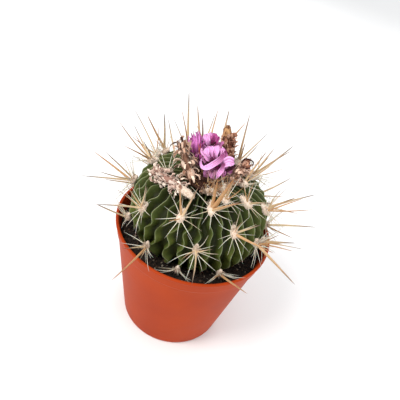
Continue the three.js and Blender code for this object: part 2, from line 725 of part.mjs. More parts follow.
function clusterPieces() {
    AREOLES.forEach((areole, owner) => {
        const end = areole.seat.clone().addScaledVector(areole.up, 0.1);
        OBSTACLES.push({ line: new THREE.Line3(areole.seat, end), radius: CUSHION.y, owner });
    });
    const pads = AREOLES.map(tuft);
    pads.forEach((pad, owner) => growCentrals(pad, AREOLES[owner], owner));
    pads.forEach((pad, owner) => growRadials(pad, AREOLES[owner], owner));
    return pads.map((pad, owner) => {
        const geometry = new THREE.BufferGeometry().setFromPoints(pad.corners);
        geometry.setIndex([...pad.faces, ...pad.tops].flat());
        return { name: `spine_cluster_${String(owner + 1).padStart(2, '0')}`, geometry };
    });
}

// ------------------------------------------------------------------------ the assembly

const finish = (color, roughness) => new THREE.MeshStandardMaterial({ color, roughness });
const FINISH = {
    pot: finish(0xb94e31, 0.45),
    soil: finish(0x2f2924, 0.95),
    stem: finish(0x3f4a2c, 0.6),
    wool: finish(0x8c7561, 1),
    spines: finish(0xe3d5b8, 0.5),
    petals: finish(0xd99acb, 0.6),
    withered: finish(0xc9aa90, 0.9),
};

placeAreoles();

const plant = new THREE.Group();

function addPiece(name, geometry, material) {
    const mesh = new THREE.Mesh(geometry, material);
    mesh.name = name;
    plant.add(mesh);
}

addPiece('pot', potGeometry(), FINISH.pot);
addPiece('soil', soilGeometry(), FINISH.soil);
addPiece('cactus_body', stemGeometry(0, 1), FINISH.stem);
addPiece('crown_wool', woolGeometry(0), FINISH.wool);
for (const { name, solid } of crownPieces()) {
    addPiece(name, geometryOf(solid), name.startsWith('dried') ? FINISH.withered : FINISH.petals);
}
for (const { name, geometry } of clusterPieces()) addPiece(name, geometry, FINISH.spines);

export default plant;
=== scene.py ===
"""A potted round cactus in bloom: wavy ribs, straw-coloured spines, wool, flowers, soil and pot."""

import math

import bpy
import numpy as np
from mathutils import Matrix, Vector, noise


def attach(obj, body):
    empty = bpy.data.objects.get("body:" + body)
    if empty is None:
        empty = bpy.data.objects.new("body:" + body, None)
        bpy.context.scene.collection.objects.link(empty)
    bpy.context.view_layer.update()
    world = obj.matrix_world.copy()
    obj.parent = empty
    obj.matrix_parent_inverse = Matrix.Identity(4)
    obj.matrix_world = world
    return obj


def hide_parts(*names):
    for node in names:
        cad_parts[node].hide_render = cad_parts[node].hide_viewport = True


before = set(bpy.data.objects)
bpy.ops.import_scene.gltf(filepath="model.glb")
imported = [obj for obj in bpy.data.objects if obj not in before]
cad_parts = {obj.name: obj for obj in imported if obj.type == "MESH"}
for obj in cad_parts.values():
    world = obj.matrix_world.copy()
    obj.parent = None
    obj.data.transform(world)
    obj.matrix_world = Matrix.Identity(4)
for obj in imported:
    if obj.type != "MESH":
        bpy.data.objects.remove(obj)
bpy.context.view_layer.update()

# ------------------------------------------------------------------ the plant's own sizes
# Millimetres and degrees, as in the solids. Headings turn from +X towards +Y.

MM = 0.001

POT_HEIGHT = 88.0
RIM_RADIUS = 52.5
COLLAR_RADIUS = 51.0
SHOULDER_RADIUS = 49.8
BASE_RADIUS = 37.0
COLLAR_DROP = 9.5
WALL = 1.5
FLOOR = 2.0
DRAIN_COUNT = 8
DRAIN_RADIUS = 3.2
DRAIN_RING = 27.0

SOIL_TOP = 78.5

STEM_CENTRE = np.array([0.0, 4.0])
STEM_RADIUS = 45.0
EQUATOR = 96.0
CROWN_RISE = 31.0
CROWN_POWER = 2.9
FOOT_DROP = 30.0
FOOT_POWER = 2.2
DIMPLE_DEPTH = 3.5
DIMPLE_RADIUS = 12.0

RIB_COUNT = 34
RIB_DEPTH = 6.0
WAVE_LENGTH = 14.5                # of a rib's sideways snaking
WAVE_CALM = 0.07                  # its reach, as a share of the rib spacing
WAVE_WILD = 0.18                  # and on the side that snakes most
WILD_SIDE = 220                   # heading of that side
RIPPLE = 0.35                     # how far a rib's crest sinks and rises
RIPPLE_LENGTH = 9.7
FINE_ARC = 84.0                   # down to the soil's top the skin is finely meshed
SOIL_ARC = 82.0                   # just above the soil
CHIN_RISE = 1.1                   # of the small swelling under a wool cushion
CHIN_REACH = 5.0
PULL_REACH = 9.0                  # how far along its rib a cushion draws the crest aside
MOST_PULL = 0.5                   # and how far aside, in rib spacings

WOOL_CENTRE = np.array([1.0, -2.0])
WOOL_RADIUS = 13.0
WOOL_HEIGHT = 2.6

# Wool cushions as [heading, arc from the top of the stem], and the rest in two rows.
AREOLE_LIST = [
    (283, 31), (304, 24), (331, 31), (1, 22), (28, 31), (198, 27), (257, 40), (304, 44),
    (350, 43), (170, 40), (140, 46), (224, 49), (276, 55), (329, 57), (185, 53), (239, 69),
    (267, 76), (301, 75), (345, 64), (205, 70), (58, 31), (84, 24), (110, 31), (136, 24),
]
BACK_ROWS = [
    {"count": 6, "first": 18, "step": 26.4, "arc": 52, "zigzag": 5},
    {"count": 6, "first": 8, "step": 32.8, "arc": 64.5, "zigzag": 1.5},
]

FLOWERS = {
    "flower_1": {"base": (1, 6), "heading": 290, "rise": 68, "length": 18},
    "flower_2": {"base": (-7, 9), "heading": 152, "rise": 64, "length": 20},
    "flower_3": {"base": (-1, 15), "heading": 115, "rise": 68, "length": 19},
}
DRIED_FLOWERS = {
    "dried_flower_1": {"base": (-7, -20), "heading": 156, "rise": 3, "length": 29, "half": 4.2},
    "dried_flower_2": {"base": (-9, -11), "heading": 128, "rise": 40, "length": 27, "half": 4},
    "dried_flower_3": {"base": (13, 0), "heading": 62, "rise": 26, "length": 24, "half": 3.8},
    "dried_flower_4": {"base": (10, 22), "heading": 128, "rise": 65, "length": 24, "half": 4.4},
}


# ------------------------------------------------------------------------------ camera

def sight():
    """The picture's right, its up, and the way towards the viewer."""
    elevation = math.radians(39.5)
    roll = math.radians(16.5)
    back = np.array([0, -math.cos(elevation), math.sin(elevation)])
    level = np.array([1.0, 0, 0])
    upright = np.cross(back, level)
    right = math.cos(roll) * level + math.sin(roll) * upright
    up = math.cos(roll) * upright - math.sin(roll) * level
    return np.array([right, up, back])


SIGHT = sight()


def add_camera():
    """Looks down on the pot's rim; the picture's up leans, so the plant tilts to the right."""
    distance = 300.0
    aside, below = -3.5, -15.4
    lens, sensor = 40.2, 36.0
    right, up, back = (Vector(way) for way in SIGHT)
    rim = Vector((0, 0, POT_HEIGHT))
    place = rim - aside * right - below * up + distance * back
    data = bpy.data.cameras.new("camera")
    data.lens = lens
    data.sensor_width = sensor
    data.clip_start = 0.01
    camera = bpy.data.objects.new("camera", data)
    turned = Matrix((right, up, back)).transposed().to_4x4()
    camera.matrix_world = Matrix.Translation(place * MM) @ turned
    bpy.context.scene.collection.objects.link(camera)
    bpy.context.scene.camera = camera


add_camera()


# --------------------------------------------------------------------------- materials

class Value:
    """A number that varies over a surface. Arithmetic on it adds Math nodes."""

    def __init__(self, finish, socket):
        self.finish = finish
        self.socket = socket

    def _math(self, operation, first, second):
        node = self.finish.node("ShaderNodeMath", {"operation": operation}, {0: first, 1: second})
        return Value(self.finish, node.outputs[0])

    def __add__(self, other):
        return self._math("ADD", self, other)

    def __radd__(self, other):
        return self._math("ADD", other, self)

    def __mul__(self, other):
        return self._math("MULTIPLY", self, other)

    def __rmul__(self, other):
        return self._math("MULTIPLY", other, self)

    def between(self, low, high):
        """0 at low, 1 at high, and smooth in between; low may be the greater."""
        node = self.finish.node(
            "ShaderNodeMapRange", {"interpolation_type": "SMOOTHSTEP"},
            {"Value": self, "From Min": low, "From Max": high})
        return Value(self.finish, node.outputs[0])


class Finish:
    """One material, built on a Principled shader."""

    def __init__(self, name, constants):
        self.material = bpy.data.materials.new(name)
        self.material.use_nodes = True
        self.tree = self.material.node_tree
        self.shader = self.tree.nodes["Principled BSDF"]
        for socket, number in constants.items():
            self.shader.inputs[socket].default_value = number

    def node(self, kind, settings, sockets):
        """Adds a node: its settings are set first, then each socket gets a value or a link."""
        node = self.tree.nodes.new(kind)
        for name, setting in settings.items():
            if name == "stops":
                ramp = node.color_ramp
                while len(ramp.elements) < len(setting):
                    ramp.elements.new(1.0)
                for element, (place, colour) in zip(ramp.elements, setting):
                    element.position = place
                    element.color = (*colour, 1.0)
            else:
                setattr(node, name, setting)
        for name, given in sockets.items():
            given = given.socket if isinstance(given, Value) else given
            if isinstance(given, bpy.types.NodeSocket):
                self.tree.links.new(given, node.inputs[name])
            else:
                node.inputs[name].default_value = given
        return node

    def place(self):
        """Where a point lies on the object, in metres."""
        return self.node("ShaderNodeTexCoord", {}, {}).outputs["Object"]

    def trait(self, name):
        """A number kept in the mesh for every corner."""
        node = self.node("ShaderNodeAttribute", {"attribute_name": name}, {})
        return Value(self, node.outputs["Fac"])

    def noise(self, scale, detail=3.0, rough=0.5, stretch=(1, 1, 1)):
        """Cloudy noise; stretch says how densely it is packed along each axis."""
        where = self.place()
        if stretch != (1, 1, 1):
            where = self.node("ShaderNodeVectorMath", {"operation": "MULTIPLY"},
                              {0: where, 1: stretch}).outputs[0]
        node = self.node("ShaderNodeTexNoise", {},
                         {"Vector": where, "Scale": scale, "Detail": detail, "Roughness": rough})
        return Value(self, node.outputs[0])

    def cells(self, scale):
        node = self.node("ShaderNodeTexVoronoi", {}, {"Vector": self.place(), "Scale": scale})
        return Value(self, node.outputs["Distance"])

    def ramp(self, value, stops):
        return self.node("ShaderNodeValToRGB", {"stops": stops}, {0: value}).outputs["Color"]

    def mix(self, share, first, second):
        """Blends two colours, each of them a socket or three numbers."""
        first, second = (given if isinstance(given, bpy.types.NodeSocket) else (*given, 1.0)
                         for given in (first, second))
        node = self.node("ShaderNodeMix", {"data_type": "RGBA"}, {0: share, 6: first, 7: second})
        return node.outputs[2]

    def colour(self, socket):
        self.tree.links.new(socket, self.shader.inputs["Base Color"])

    def roughness(self, value):
        self.tree.links.new(value.socket, self.shader.inputs["Roughness"])

    def bump(self, height, distance, strength=1.0):
        node = self.node("ShaderNodeBump", {},
                         {"Height": height, "Distance": distance * MM, "Strength": strength})
        self.tree.links.new(node.outputs[0], self.shader.inputs["Normal"])


def shade(red, green, blue):
    """A colour from its 0-255 screen values."""
    def linear(level):
        level /= 255
        return level / 12.92 if level <= 0.04045 else ((level + 0.055) / 1.055) ** 2.4
    return (linear(red), linear(green), linear(blue))


def pot_finish():
    """Smooth moulded plastic with faint scuffs and dust."""
    finish = Finish("terracotta plastic", {"Specular IOR Level": 0.08})
    cloud = finish.noise(26, 4)
    scuffs = finish.noise(90, 6, 0.65, (1, 1, 6)).between(0.58, 0.74)
    base = finish.ramp(cloud, [(0.3, shade(156, 52, 15)), (0.7, shade(172, 63, 21))])
    finish.colour(finish.mix(scuffs * 0.1, base, shade(200, 110, 70)))
    finish.roughness(0.4 + 0.16 * cloud + 0.2 * scuffs)
    finish.bump(finish.noise(700, 3) * 0.4 + scuffs * 0.2, 0.05, 0.35)
    return finish


def soil_finish():
    """Dark damp peat with lighter dry specks."""
    finish = Finish("dark peat", {"Specular IOR Level": 0.2})
    grain = finish.noise(420, 6, 0.7)
    patch = finish.noise(70, 3)
    dark = finish.ramp(grain, [(0.35, shade(14, 11, 10)), (0.55, shade(38, 30, 25)),
                               (0.75, shade(70, 56, 45))])
    finish.colour(finish.mix(patch.between(0.5, 0.75) * 0.4, dark, shade(52, 40, 32)))
    finish.roughness(0.8 + 0.15 * patch)
    finish.bump(grain + finish.cells(600) * 0.6, 0.7)
    return finish


def crumb_finish():
    """Loose crumbs of bark, peat and pale grit."""
    finish = Finish("soil crumbs", {"Specular IOR Level": 0.25})
    kind = finish.trait("shade")
    grain = finish.noise(900, 5, 0.7)
    base = finish.ramp(kind, [(0.0, shade(18, 13, 11)), (0.6, shade(44, 33, 26)),
                              (0.88, shade(76, 56, 42)), (0.97, shade(150, 140, 124))])
    finish.colour(finish.mix(grain.between(0.45, 0.75) * 0.5, base, shade(24, 18, 15)))
    finish.roughness(0.75 + 0.2 * grain)
    finish.bump(grain, 0.35)
    return finish


def stem_finish():
    """Waxy dark green skin, thin pale crests, painted shade in the valleys, greyer near the top,
    corky at the soil.
    """
    finish = Finish("cactus skin", {"Subsurface Weight": 0.06, "Subsurface Scale": 0.0015,
                                    "Specular IOR Level": 0.22})
    crest = finish.trait("edge")
    along = finish.trait("along")
    kind = finish.trait("shade")
    patch = finish.noise(55, 4, 0.55)
    fine = finish.noise(900, 3)
    flank = finish.ramp(patch, [(0.3, shade(50, 60, 18)), (0.5, shade(71, 81, 25)),
                                (0.72, shade(104, 110, 42))])
    flank = finish.mix(along.between(0.5, 0.2) * 0.75, flank, shade(45, 54, 32))
    flank = finish.mix(kind * 0.3, flank, shade(72, 82, 38))
    # Painted shade: the valleys between the ribs are darkened; the flanks lighten a little towards
    # the crests.
    green = finish.mix(crest.between(0.55, 0.02), flank, shade(34, 39, 9))
    green = finish.mix(crest.between(0.5, 0.86) * 0.25, green, shade(98, 110, 60))
    faint = 0.55 + 0.45 * along.between(0.15, 0.35)
    line = crest.between(0.9, 0.99) * faint * (0.4 + 0.5 * finish.noise(75, 2).between(0.4, 0.6))
    lined = finish.mix(line, green, shade(150, 157, 122))
    corky = along.between(0.62, 0.78) * finish.noise(140, 4).between(0.42, 0.66)
    finish.colour(finish.mix(corky * 0.6, lined, shade(88, 74, 48)))
    finish.roughness(0.46 + 0.2 * patch + 0.12 * fine)
    finish.bump(fine * 0.5 + finish.noise(240, 3) * 0.8, 0.12, 0.6)
    return finish


def wool_finish():
    """Cream felted wool, whiter where it is young."""
    finish = Finish("cream wool", {"Specular IOR Level": 0.1, "Sheen Weight": 0.2})
    fleck = finish.noise(1400, 4, 0.7)
    base = finish.ramp(fleck, [(0.25, shade(180, 146, 122)), (0.45, shade(226, 204, 184)),
                               (0.75, shade(250, 240, 228))])
    finish.colour(finish.mix(finish.trait("shade") * 0.55, base, shade(176, 138, 104)))
    finish.roughness(0.9 + 0.08 * fleck)
    finish.bump(fleck, 0.25)
    return finish


def crown_wool_finish():
    """Matted wool in the crown, from pale grey to dark brown."""
    finish = Finish("crown wool", {"Specular IOR Level": 0.1})
    fleck = finish.noise(800, 4, 0.7)
    kind = finish.trait("shade")
    base = finish.ramp(kind, [(0.0, shade(214, 190, 172)), (0.3, shade(156, 122, 104)),
                              (0.6, shade(88, 58, 48)), (1.0, shade(40, 22, 17))])
    finish.colour(finish.mix(fleck.between(0.45, 0.7) * 0.45, base, shade(46, 26, 20)))
    finish.roughness(0.9 + 0.08 * fleck)
    finish.bump(fleck, 0.4)
    return finish


def central_finish():
    """The long flat spines: straw, some of them tanned, with grey-brown points."""
    finish = Finish("straw spines", {"Specular IOR Level": 0.3, "Subsurface Weight": 0.08,
                                     "Subsurface Scale": 0.001})
    along = finish.trait("along")
    kind = finish.trait("shade")
    streak = finish.noise(500, 4, 0.6)
    body = finish.ramp(along, [(0.0, shade(232, 212, 178)), (0.25, shade(206, 180, 142)),
                               (0.6, shade(180, 158, 130)), (0.82, shade(120, 104, 92)),
                               (1.0, shade(70, 60, 58))])
    tan = finish.mix(kind.between(0.3, 0.9) * 0.6, body, shade(184, 124, 62))
    finish.colour(finish.mix(streak.between(0.5, 0.75) * 0.3, tan, shade(226, 208, 172)))
    finish.roughness(0.42 + 0.25 * streak)
    finish.bump(streak, 0.08)
    return finish


def radial_finish():
    """The thin spread spines: whitish, greyer at their points, some of them tanned."""
    finish = Finish("pale spines", {"Specular IOR Level": 0.3, "Subsurface Weight": 0.08,
                                    "Subsurface Scale": 0.001})
    along = finish.trait("along")
    kind = finish.trait("shade")
    body = finish.ramp(along, [(0.0, shade(232, 222, 200)), (0.6, shade(210, 208, 194)),
                               (1.0, shade(168, 164, 154))])
    finish.colour(finish.mix(kind.between(0.5, 1.0) * 0.5, body, shade(176, 150, 110)))
    finish.roughness(0.45 + 0.2 * finish.noise(600, 3))
    return finish


ALL_SHADOW = 1.4                        # a petal of this shade is wholly painted shadow: a dark sheet laid in a gap between petals
PART_SHADOW = 1.16                       # and one of this shade only partly


def petal_finish(name, light, middle, stripe, shadow_colour):
    """Soft petals: pale edges, three dark lines, fine veins, deep magenta at the foot, and painted
    shadow on petals whose shade passes 1.
    """
    finish = Finish(name, {"Subsurface Weight": 0.05, "Subsurface Scale": 0.001,
                           "Specular IOR Level": 0.2})
    along = finish.trait("along")
    edge = finish.trait("edge")
    kind = finish.trait("shade")
    vein = finish.noise(900, 3, 0.6, (1, 1, 0.25))
    midline = (edge + 0.12 * vein).between(0.22, 0.02)
    beside = (edge + 0.1 * vein).between(0.42, 0.54) * (edge + 0.1 * vein).between(0.7, 0.58)
    body = finish.mix(kind, light, middle)
    body = finish.mix(along.between(0.5, 0.05) * 0.85, body, stripe)
    body = finish.mix(midline * 0.65, body, stripe)
    body = finish.mix(beside * 0.35, body, stripe)
    body = finish.mix(vein.between(0.5, 0.7) * 0.3, body, middle)
    body = finish.mix(finish.trait("under") * 0.55, body, stripe)
    # Painted shadow: a petal whose shade passes 1.05 turns towards the shadow colour, and fully at
    # 1.3.
    finish.colour(finish.mix(kind.between(1.05, 1.3), body, shadow_colour))
    finish.roughness(0.5 + 0.15 * vein)
    finish.bump(vein, 0.12)
    return finish


def withered_finish(name, light, middle, dark, rim):
    """Dry papery petals with dark blotches, a painted highlight along the rim, and painted shade at
    their feet and undersides.
    """
    finish = Finish(name, {"Specular IOR Level": 0.15})
    edge = finish.trait("edge")
    kind = finish.trait("shade")
    along = finish.trait("along")
    blotch = finish.noise(260, 5, 0.65)
    body = finish.ramp(kind, [(0.0, light), (0.5, middle), (1.0, dark)])
    body = finish.mix(blotch.between(0.5, 0.72) * 0.45, body, dark)
    # Painted shade: the petals are darkened on their undersides and at their feet.
    body = finish.mix(finish.trait("under") * 0.35, body, dark)
    body = finish.mix(along.between(0.3, 0.0) * 0.4, body, dark)
    # Painted highlight: the rims are lightened as if lit, by the share rim.
    finish.colour(finish.mix(edge.between(0.75, 1.0) * rim, body, light))
    finish.roughness(0.75 + 0.2 * blotch)
    finish.bump(finish.noise(700, 4), 0.15)
    return finish


def plain_finish(name, first, second, scale, rough):
    """A small part of two close colours."""
    finish = Finish(name, {})
    fleck = finish.noise(scale, 3)
    finish.colour(finish.mix(fleck.between(0.35, 0.65), first, second))
    finish.roughness(rough + 0.1 * fleck)
    finish.bump(fleck, 0.05)
    return finish


# --------------------------------------------------------------------- building pieces

TRAITS = ("along", "edge", "shade", "under")


class Shape:
    """Corners and faces gathered for one piece, in millimetres."""

    def __init__(self):
        self.corners = []
        self.faces = []
        self.finishes = []
        self.traits = {name: [] for name in TRAITS}
        self.count = 0

    def add(self, body, finish=0, **traits):
        """Takes in a body: its corners, its faces, and traits that the call may override."""
        corners, faces, own = body
        own = {**own, **traits}
        self.corners.append(np.asarray(corners, float))
        self.faces += [tuple(corner + self.count for corner in face) for face in faces]
        self.finishes += [finish] * len(faces)
        for name in TRAITS:
            self.traits[name].append(np.broadcast_to(own.get(name, 0.0), len(corners)))
        self.count += len(corners)

    def piece(self, name, finishes, slot, nodes):
        """Makes the piece that stands for some nodes of the solids."""
        mesh = bpy.data.meshes.new(name)
        mesh.from_pydata(np.concatenate(self.corners) * MM, [], self.faces)
        mesh.polygons.foreach_set("material_index", self.finishes)
        mesh.polygons.foreach_set("use_smooth", [True] * len(self.faces))
        for trait, numbers in self.traits.items():
            layer = mesh.attributes.new(trait, "FLOAT", "POINT")
            layer.data.foreach_set("value", np.concatenate(numbers).astype(np.float32))
        for finish in finishes:
            mesh.materials.append(finish.material)
        mesh.update()
        piece = bpy.data.objects.new(name, mesh)
        bpy.context.scene.collection.objects.link(piece)
        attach(piece, "root")
        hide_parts(*nodes)
        return piece


def unit(vectors):
    """Each vector at length 1."""
    return vectors / np.linalg.norm(vectors, axis=-1, keepdims=True)


def direction(heading, rise):
    """The way of a heading and a rise above the level, in degrees."""
    turn, lift = math.radians(heading), math.radians(rise)
    flat = math.cos(lift)
    return np.array([flat * math.cos(turn), flat * math.sin(turn), math.sin(lift)])


def smooth(value, low, high):
    """0 below low, 1 above high, and smooth in between."""
    share = np.clip((np.asarray(value, float) - low) / (high - low), 0, 1)
    return share * share * (3 - 2 * share)


def net(rows, columns):
    """Faces of a grid of corners whose columns close on themselves."""
    row, column = np.mgrid[0:rows - 1, 0:columns]
    beside = (column + 1) % columns
    faces = np.stack([row * columns + column, (row + 1) * columns + column,
                      (row + 1) * columns + beside, row * columns + beside], -1)
    return [tuple(face) for face in faces.reshape(-1, 4).tolist()]


def strand(path, half_width, half_thickness, across, sides, **traits):
    """A tapering rod: rings of an oval section along a path, whose last point is its tip."""
    path = np.asarray(path, float)
    along = unit(np.gradient(path, axis=0))
    out = unit(np.cross(along, across))
    side = np.cross(out, along)
    turns = 2 * np.pi * np.arange(sides) / sides
    width = np.broadcast_to(half_width, len(path))[:-1, None, None]
    thickness = np.broadcast_to(half_thickness, len(path))[:-1, None, None]
    rings = (path[:-1, None] + side[:-1, None] * width * np.cos(turns)[None, :, None]
             + out[:-1, None] * thickness * np.sin(turns)[None, :, None])
    corners = np.vstack([rings.reshape(-1, 3), path[-1:]])
    last = (len(path) - 2) * sides
    faces = [face[::-1] for face in net(len(path) - 1, sides)]
    faces += [(last + k, last + (k + 1) % sides, len(corners) - 1) for k in range(sides)]
    faces.append(tuple(range(sides))[::-1])
    share = np.append(np.repeat(np.linspace(0, 1, len(path))[:-1], sides), 1.0)
    return corners, faces, {"along": share, **traits}


def leaf(centre, side, out, half_width, thickness, cup, columns, frill, slide=0.0, **traits):
    """A thin closed blade: a row of corners over and another under it for each step."""
    centre = np.asarray(centre, float)
    across = np.linspace(-1, 1, columns)
    width = np.asarray(half_width)[:, None, None]
    lift = np.asarray(cup)[:, None, None] * np.abs(across)[None, :, None] ** 1.6 * width
    lift = lift + frill[:, :, None]
    top = centre[:, None] + side[:, None] * across[None, :, None] * width + out[:, None] * lift
    top = top + np.cross(out, side)[:, None] * np.asarray(slide)[..., None]
    thick = 0.5 * thickness * (1 - 0.6 * np.abs(across) ** 3)[None, :, None] * out[:, None]
    rings = np.concatenate([top + thick, (top - thick)[:, ::-1]], axis=1)
    rows, around = rings.shape[:2]
    faces = net(rows, around)
    faces.append(tuple(range(around)))
    faces.append(tuple(range((rows - 1) * around, rows * around))[::-1])
    edge = np.concatenate([np.abs(across), np.abs(across)[::-1]])
    under = np.repeat([0.0, 1.0], columns)
    share = np.repeat(np.linspace(0, 1, rows), around)
    return rings.reshape(-1, 3), faces, {
        "along": share, "edge": np.tile(edge, rows), "under": np.tile(under, rows), **traits}


def lump(centre, axes, rng, rough, columns, rows, bumps=2.0):
    """A closed knobbly ball; axes holds its three half-size vectors."""
    polar = np.linspace(0, np.pi, rows)
    turn = 2 * np.pi * np.arange(columns) / columns
    rings = np.stack([np.outer(np.sin(polar), np.cos(turn)), np.outer(np.sin(polar), np.sin(turn)),
                      np.outer(np.cos(polar), np.ones(columns))], -1)
    shift = rng.uniform(0, 60, 3)
    ball = rings[1:-1].reshape(-1, 3)
    ball = np.vstack([[0, 0, 1], ball, [0, 0, -1]])
    swell = np.array([noise.noise(Vector(point * bumps + shift)) for point in ball])
    ball = ball * (1 + rough * 2 * swell[:, None])
    inner = [tuple(corner + 1 for corner in face) for face in net(rows - 2, columns)]
    top = [(0, 1 + k, 1 + (k + 1) % columns) for k in range(columns)]
    last = 1 + (rows - 3) * columns
    foot = [(len(ball) - 1, last + (k + 1) % columns, last + k) for k in range(columns)]
    return np.asarray(centre) + ball @ np.asarray(axes), top + inner + foot, {}


# --------------------------------------------------------------------- the stem's form

def crest_outline():
    """Radius, height and arc of the rib crests, from the dimpled top to the buried tip."""
    steps = 360
    turn = np.pi * (0.5 - np.arange(steps + 1) / steps)
    upper = turn > 0
    power = 2 / np.where(upper, CROWN_POWER, FOOT_POWER)
    reach = np.where(upper, CROWN_RISE, FOOT_DROP)
    radius = STEM_RADIUS * np.maximum(np.cos(turn), 0) ** power
    radius[[0, -1]] = 0
    dimple = np.where(upper, DIMPLE_DEPTH * (1 - smooth(radius, 0, DIMPLE_RADIUS)), 0)
    height = EQUATOR + np.sign(turn) * reach * np.abs(np.sin(turn)) ** power - dimple
    arc = np.append(0, np.cumsum(np.hypot(np.diff(radius), np.diff(height))))
    return radius, height, arc


CREST_RADIUS, CREST_HEIGHT, CREST_ARC = crest_outline()
WHOLE_ARC = CREST_ARC[-1]


def outline_at(arc):
    """Radius, height and outward slope of the crest outline."""
    slope_radius = np.gradient(CREST_RADIUS, CREST_ARC)
    slope_height = np.gradient(CREST_HEIGHT, CREST_ARC)
    radius, height, along_radius, along_height = (
        np.interp(arc, CREST_ARC, row)
        for row in (CREST_RADIUS, CREST_HEIGHT, slope_radius, slope_height))
    return radius, height, -along_height, along_radius


def rib_wave(rib, arc):
    """How far a rib snakes to the side: most on one side of the stem and near the soil."""
    facing = np.cos(2 * np.pi * rib / RIB_COUNT - math.radians(WILD_SIDE))
    share = WAVE_CALM + (WAVE_WILD - WAVE_CALM) * smooth(facing, 0.2, 0.8)
    reach = share * smooth(arc, 12, 42) * (1 + 0.25 * smooth(arc, 60, 84))
    step = WAVE_LENGTH * (1 + 0.12 * np.sin(0.9 * rib))
    turn = 2 * np.pi * arc / step + 0.85 * rib + 1.5 * np.sin(1.7 * rib)
    return reach * (np.sin(turn) + 0.25 * np.sin(1.63 * turn + 2 * rib))


def place_areoles():
    """The rib and the sideways pull of every areole."""
    wanted = list(AREOLE_LIST)
    for row in BACK_ROWS:
        for k in range(row["count"]):
            side = -1 if k % 2 else 1
            wanted.append((row["first"] + row["step"] * k, row["arc"] + row["zigzag"] * side))
    areoles = []
    for heading, arc in wanted:
        place = heading % 360 / 360 * RIB_COUNT
        rib = int(math.floor(place + 0.5)) % RIB_COUNT
        aside = (place - rib + 1) % RIB_COUNT - 1
        pull = float(np.clip(aside - rib_wave(rib, arc), -MOST_PULL, MOST_PULL))
        areoles.append({"rib": rib, "arc": arc, "pull": pull})
    return areoles


AREOLES = place_areoles()


def crest_place(rib, arc):
    """Where a rib's crest runs, counted in rib spacings round the stem."""
    place = rib + rib_wave(rib, arc)
    for areole in AREOLES:
        apart = np.abs(areole["rib"] - rib)
        ribs_away = np.minimum(apart, RIB_COUNT - apart)
        hold = np.where(ribs_away == 0, 1, np.where(ribs_away == 1, 0.45, 0))
        reach = (arc - areole["arc"]) / PULL_REACH
        place = place + areole["pull"] * hold * np.exp(-reach ** 2)
    return place


def chin(rib, arc):
    """How far the crest swells out under the wool cushions."""
    rise = 0
    for areole in AREOLES:
        reach = (arc - areole["arc"]) / CHIN_REACH
        rise = rise + np.where(areole["rib"] == rib, np.exp(-reach ** 2), 0)
    return CHIN_RISE * np.minimum(rise, 1)


def rib_depth(arc):
    """Ribs start shallow in the crown and fade out under the soil."""
    return RIB_DEPTH * smooth(arc, 4, 26) * (1 - smooth(arc, 76, WHOLE_ARC))


def stem_point(place, arc, outwards):
    """A point of the skin, so far outwards from the crest outline."""
    radius, height, out_radius, out_height = outline_at(arc)
    heading = 2 * np.pi * place / RIB_COUNT
    reach = np.maximum(radius + outwards * out_radius, 0) * (radius > 0)
    return np.stack([STEM_CENTRE[0] + reach * np.cos(heading),
                     STEM_CENTRE[1] + reach * np.sin(heading),
                     height + outwards * out_height], -1)


def areole_frames():
    """Each areole's point on its crest and its outward, sideways and upward directions."""
    frames = []
    for areole in AREOLES:
        rib, arc = areole["rib"], areole["arc"]
        place = crest_place(rib, arc)
        heading = 2 * math.pi * place / RIB_COUNT
        _, _, out_radius, out_height = outline_at(arc)
        out = unit(np.array([out_radius * math.cos(heading), out_radius * math.sin(heading),
                             out_height]))
        across = np.array([-math.sin(heading), math.cos(heading), 0.0])
        frames.append({"point": stem_point(place, arc, chin(rib, arc)), "out": out,
                       "across": across, "up": np.cross(out, across), "arc": arc})
    return frames


# ---------------------------------------------------------------------------- the stem

# Across one rib spacing: how far over, and how deep, as a share of the rib's depth.
RIB_SECTION = [(0.0, 0.0), (0.045, 0.16), (0.1, 0.46), (0.17, 0.7), (0.26, 0.87), (0.37, 0.96),
               (0.5, 1.0), (0.63, 0.96), (0.74, 0.87), (0.83, 0.7), (0.9, 0.46), (0.955, 0.16)]


def build_stem():
    """The ribbed skin: a closed net of rings, with one section of columns for each rib."""
    share, depth = np.array(RIB_SECTION).T
    columns = RIB_COUNT * len(share)
    fine_rows, foot_rows = 190, 8
    arcs = np.concatenate([np.linspace(0, FINE_ARC, fine_rows),
                           np.linspace(FINE_ARC + 2, WHOLE_ARC, foot_rows)])
    column = np.arange(columns)
    rib = (column // len(share))[None, :]
    over = share[column % len(share)][None, :]
    deep = depth[column % len(share)][None, :]
    arc = arcs[:, None]
    here = crest_place(rib, arc)
    there = crest_place((rib + 1) % RIB_COUNT, arc) + np.where(rib + 1 == RIB_COUNT, RIB_COUNT, 0)
    near = chin(rib, arc) * (1 - smooth(over, 0, 0.25))
    far = chin((rib + 1) % RIB_COUNT, arc) * (1 - smooth(1 - over, 0, 0.25))
    wave = np.sin(2 * np.pi * arc / RIPPLE_LENGTH + 2.1 * rib)
    ripple = RIPPLE * wave * smooth(arc, 20, 45) * (1 - deep)
    outwards = near + far + ripple - rib_depth(arc) * deep
    corners = stem_point(here + (there - here) * over, arc, outwards)
    corners[0] = corners[0].mean(0)
    corners[-1] = corners[-1].mean(0)
    shape = Shape()
    faces = net(len(arcs), columns)
    edge = np.broadcast_to(1 - deep, arc.shape[:1] + (columns,)) * smooth(arc, 3, 14)
    # A scattered number from 0 to 1 for each rib, so that neighbours differ in colour.
    rib_kind = np.modf(np.abs(np.sin(rib * 12.9898) * 43758.5453))[0]
    shape.add((corners.reshape(-1, 3), faces, {}),
              along=np.repeat(arcs / WHOLE_ARC, columns), edge=edge.ravel(),
              shade=np.broadcast_to(rib_kind, edge.shape).ravel())
    shape.piece("ribbed_stem", [stem_finish()], "stem", ["cactus_body"])


# --------------------------------------------------------------- wool cushions and spines

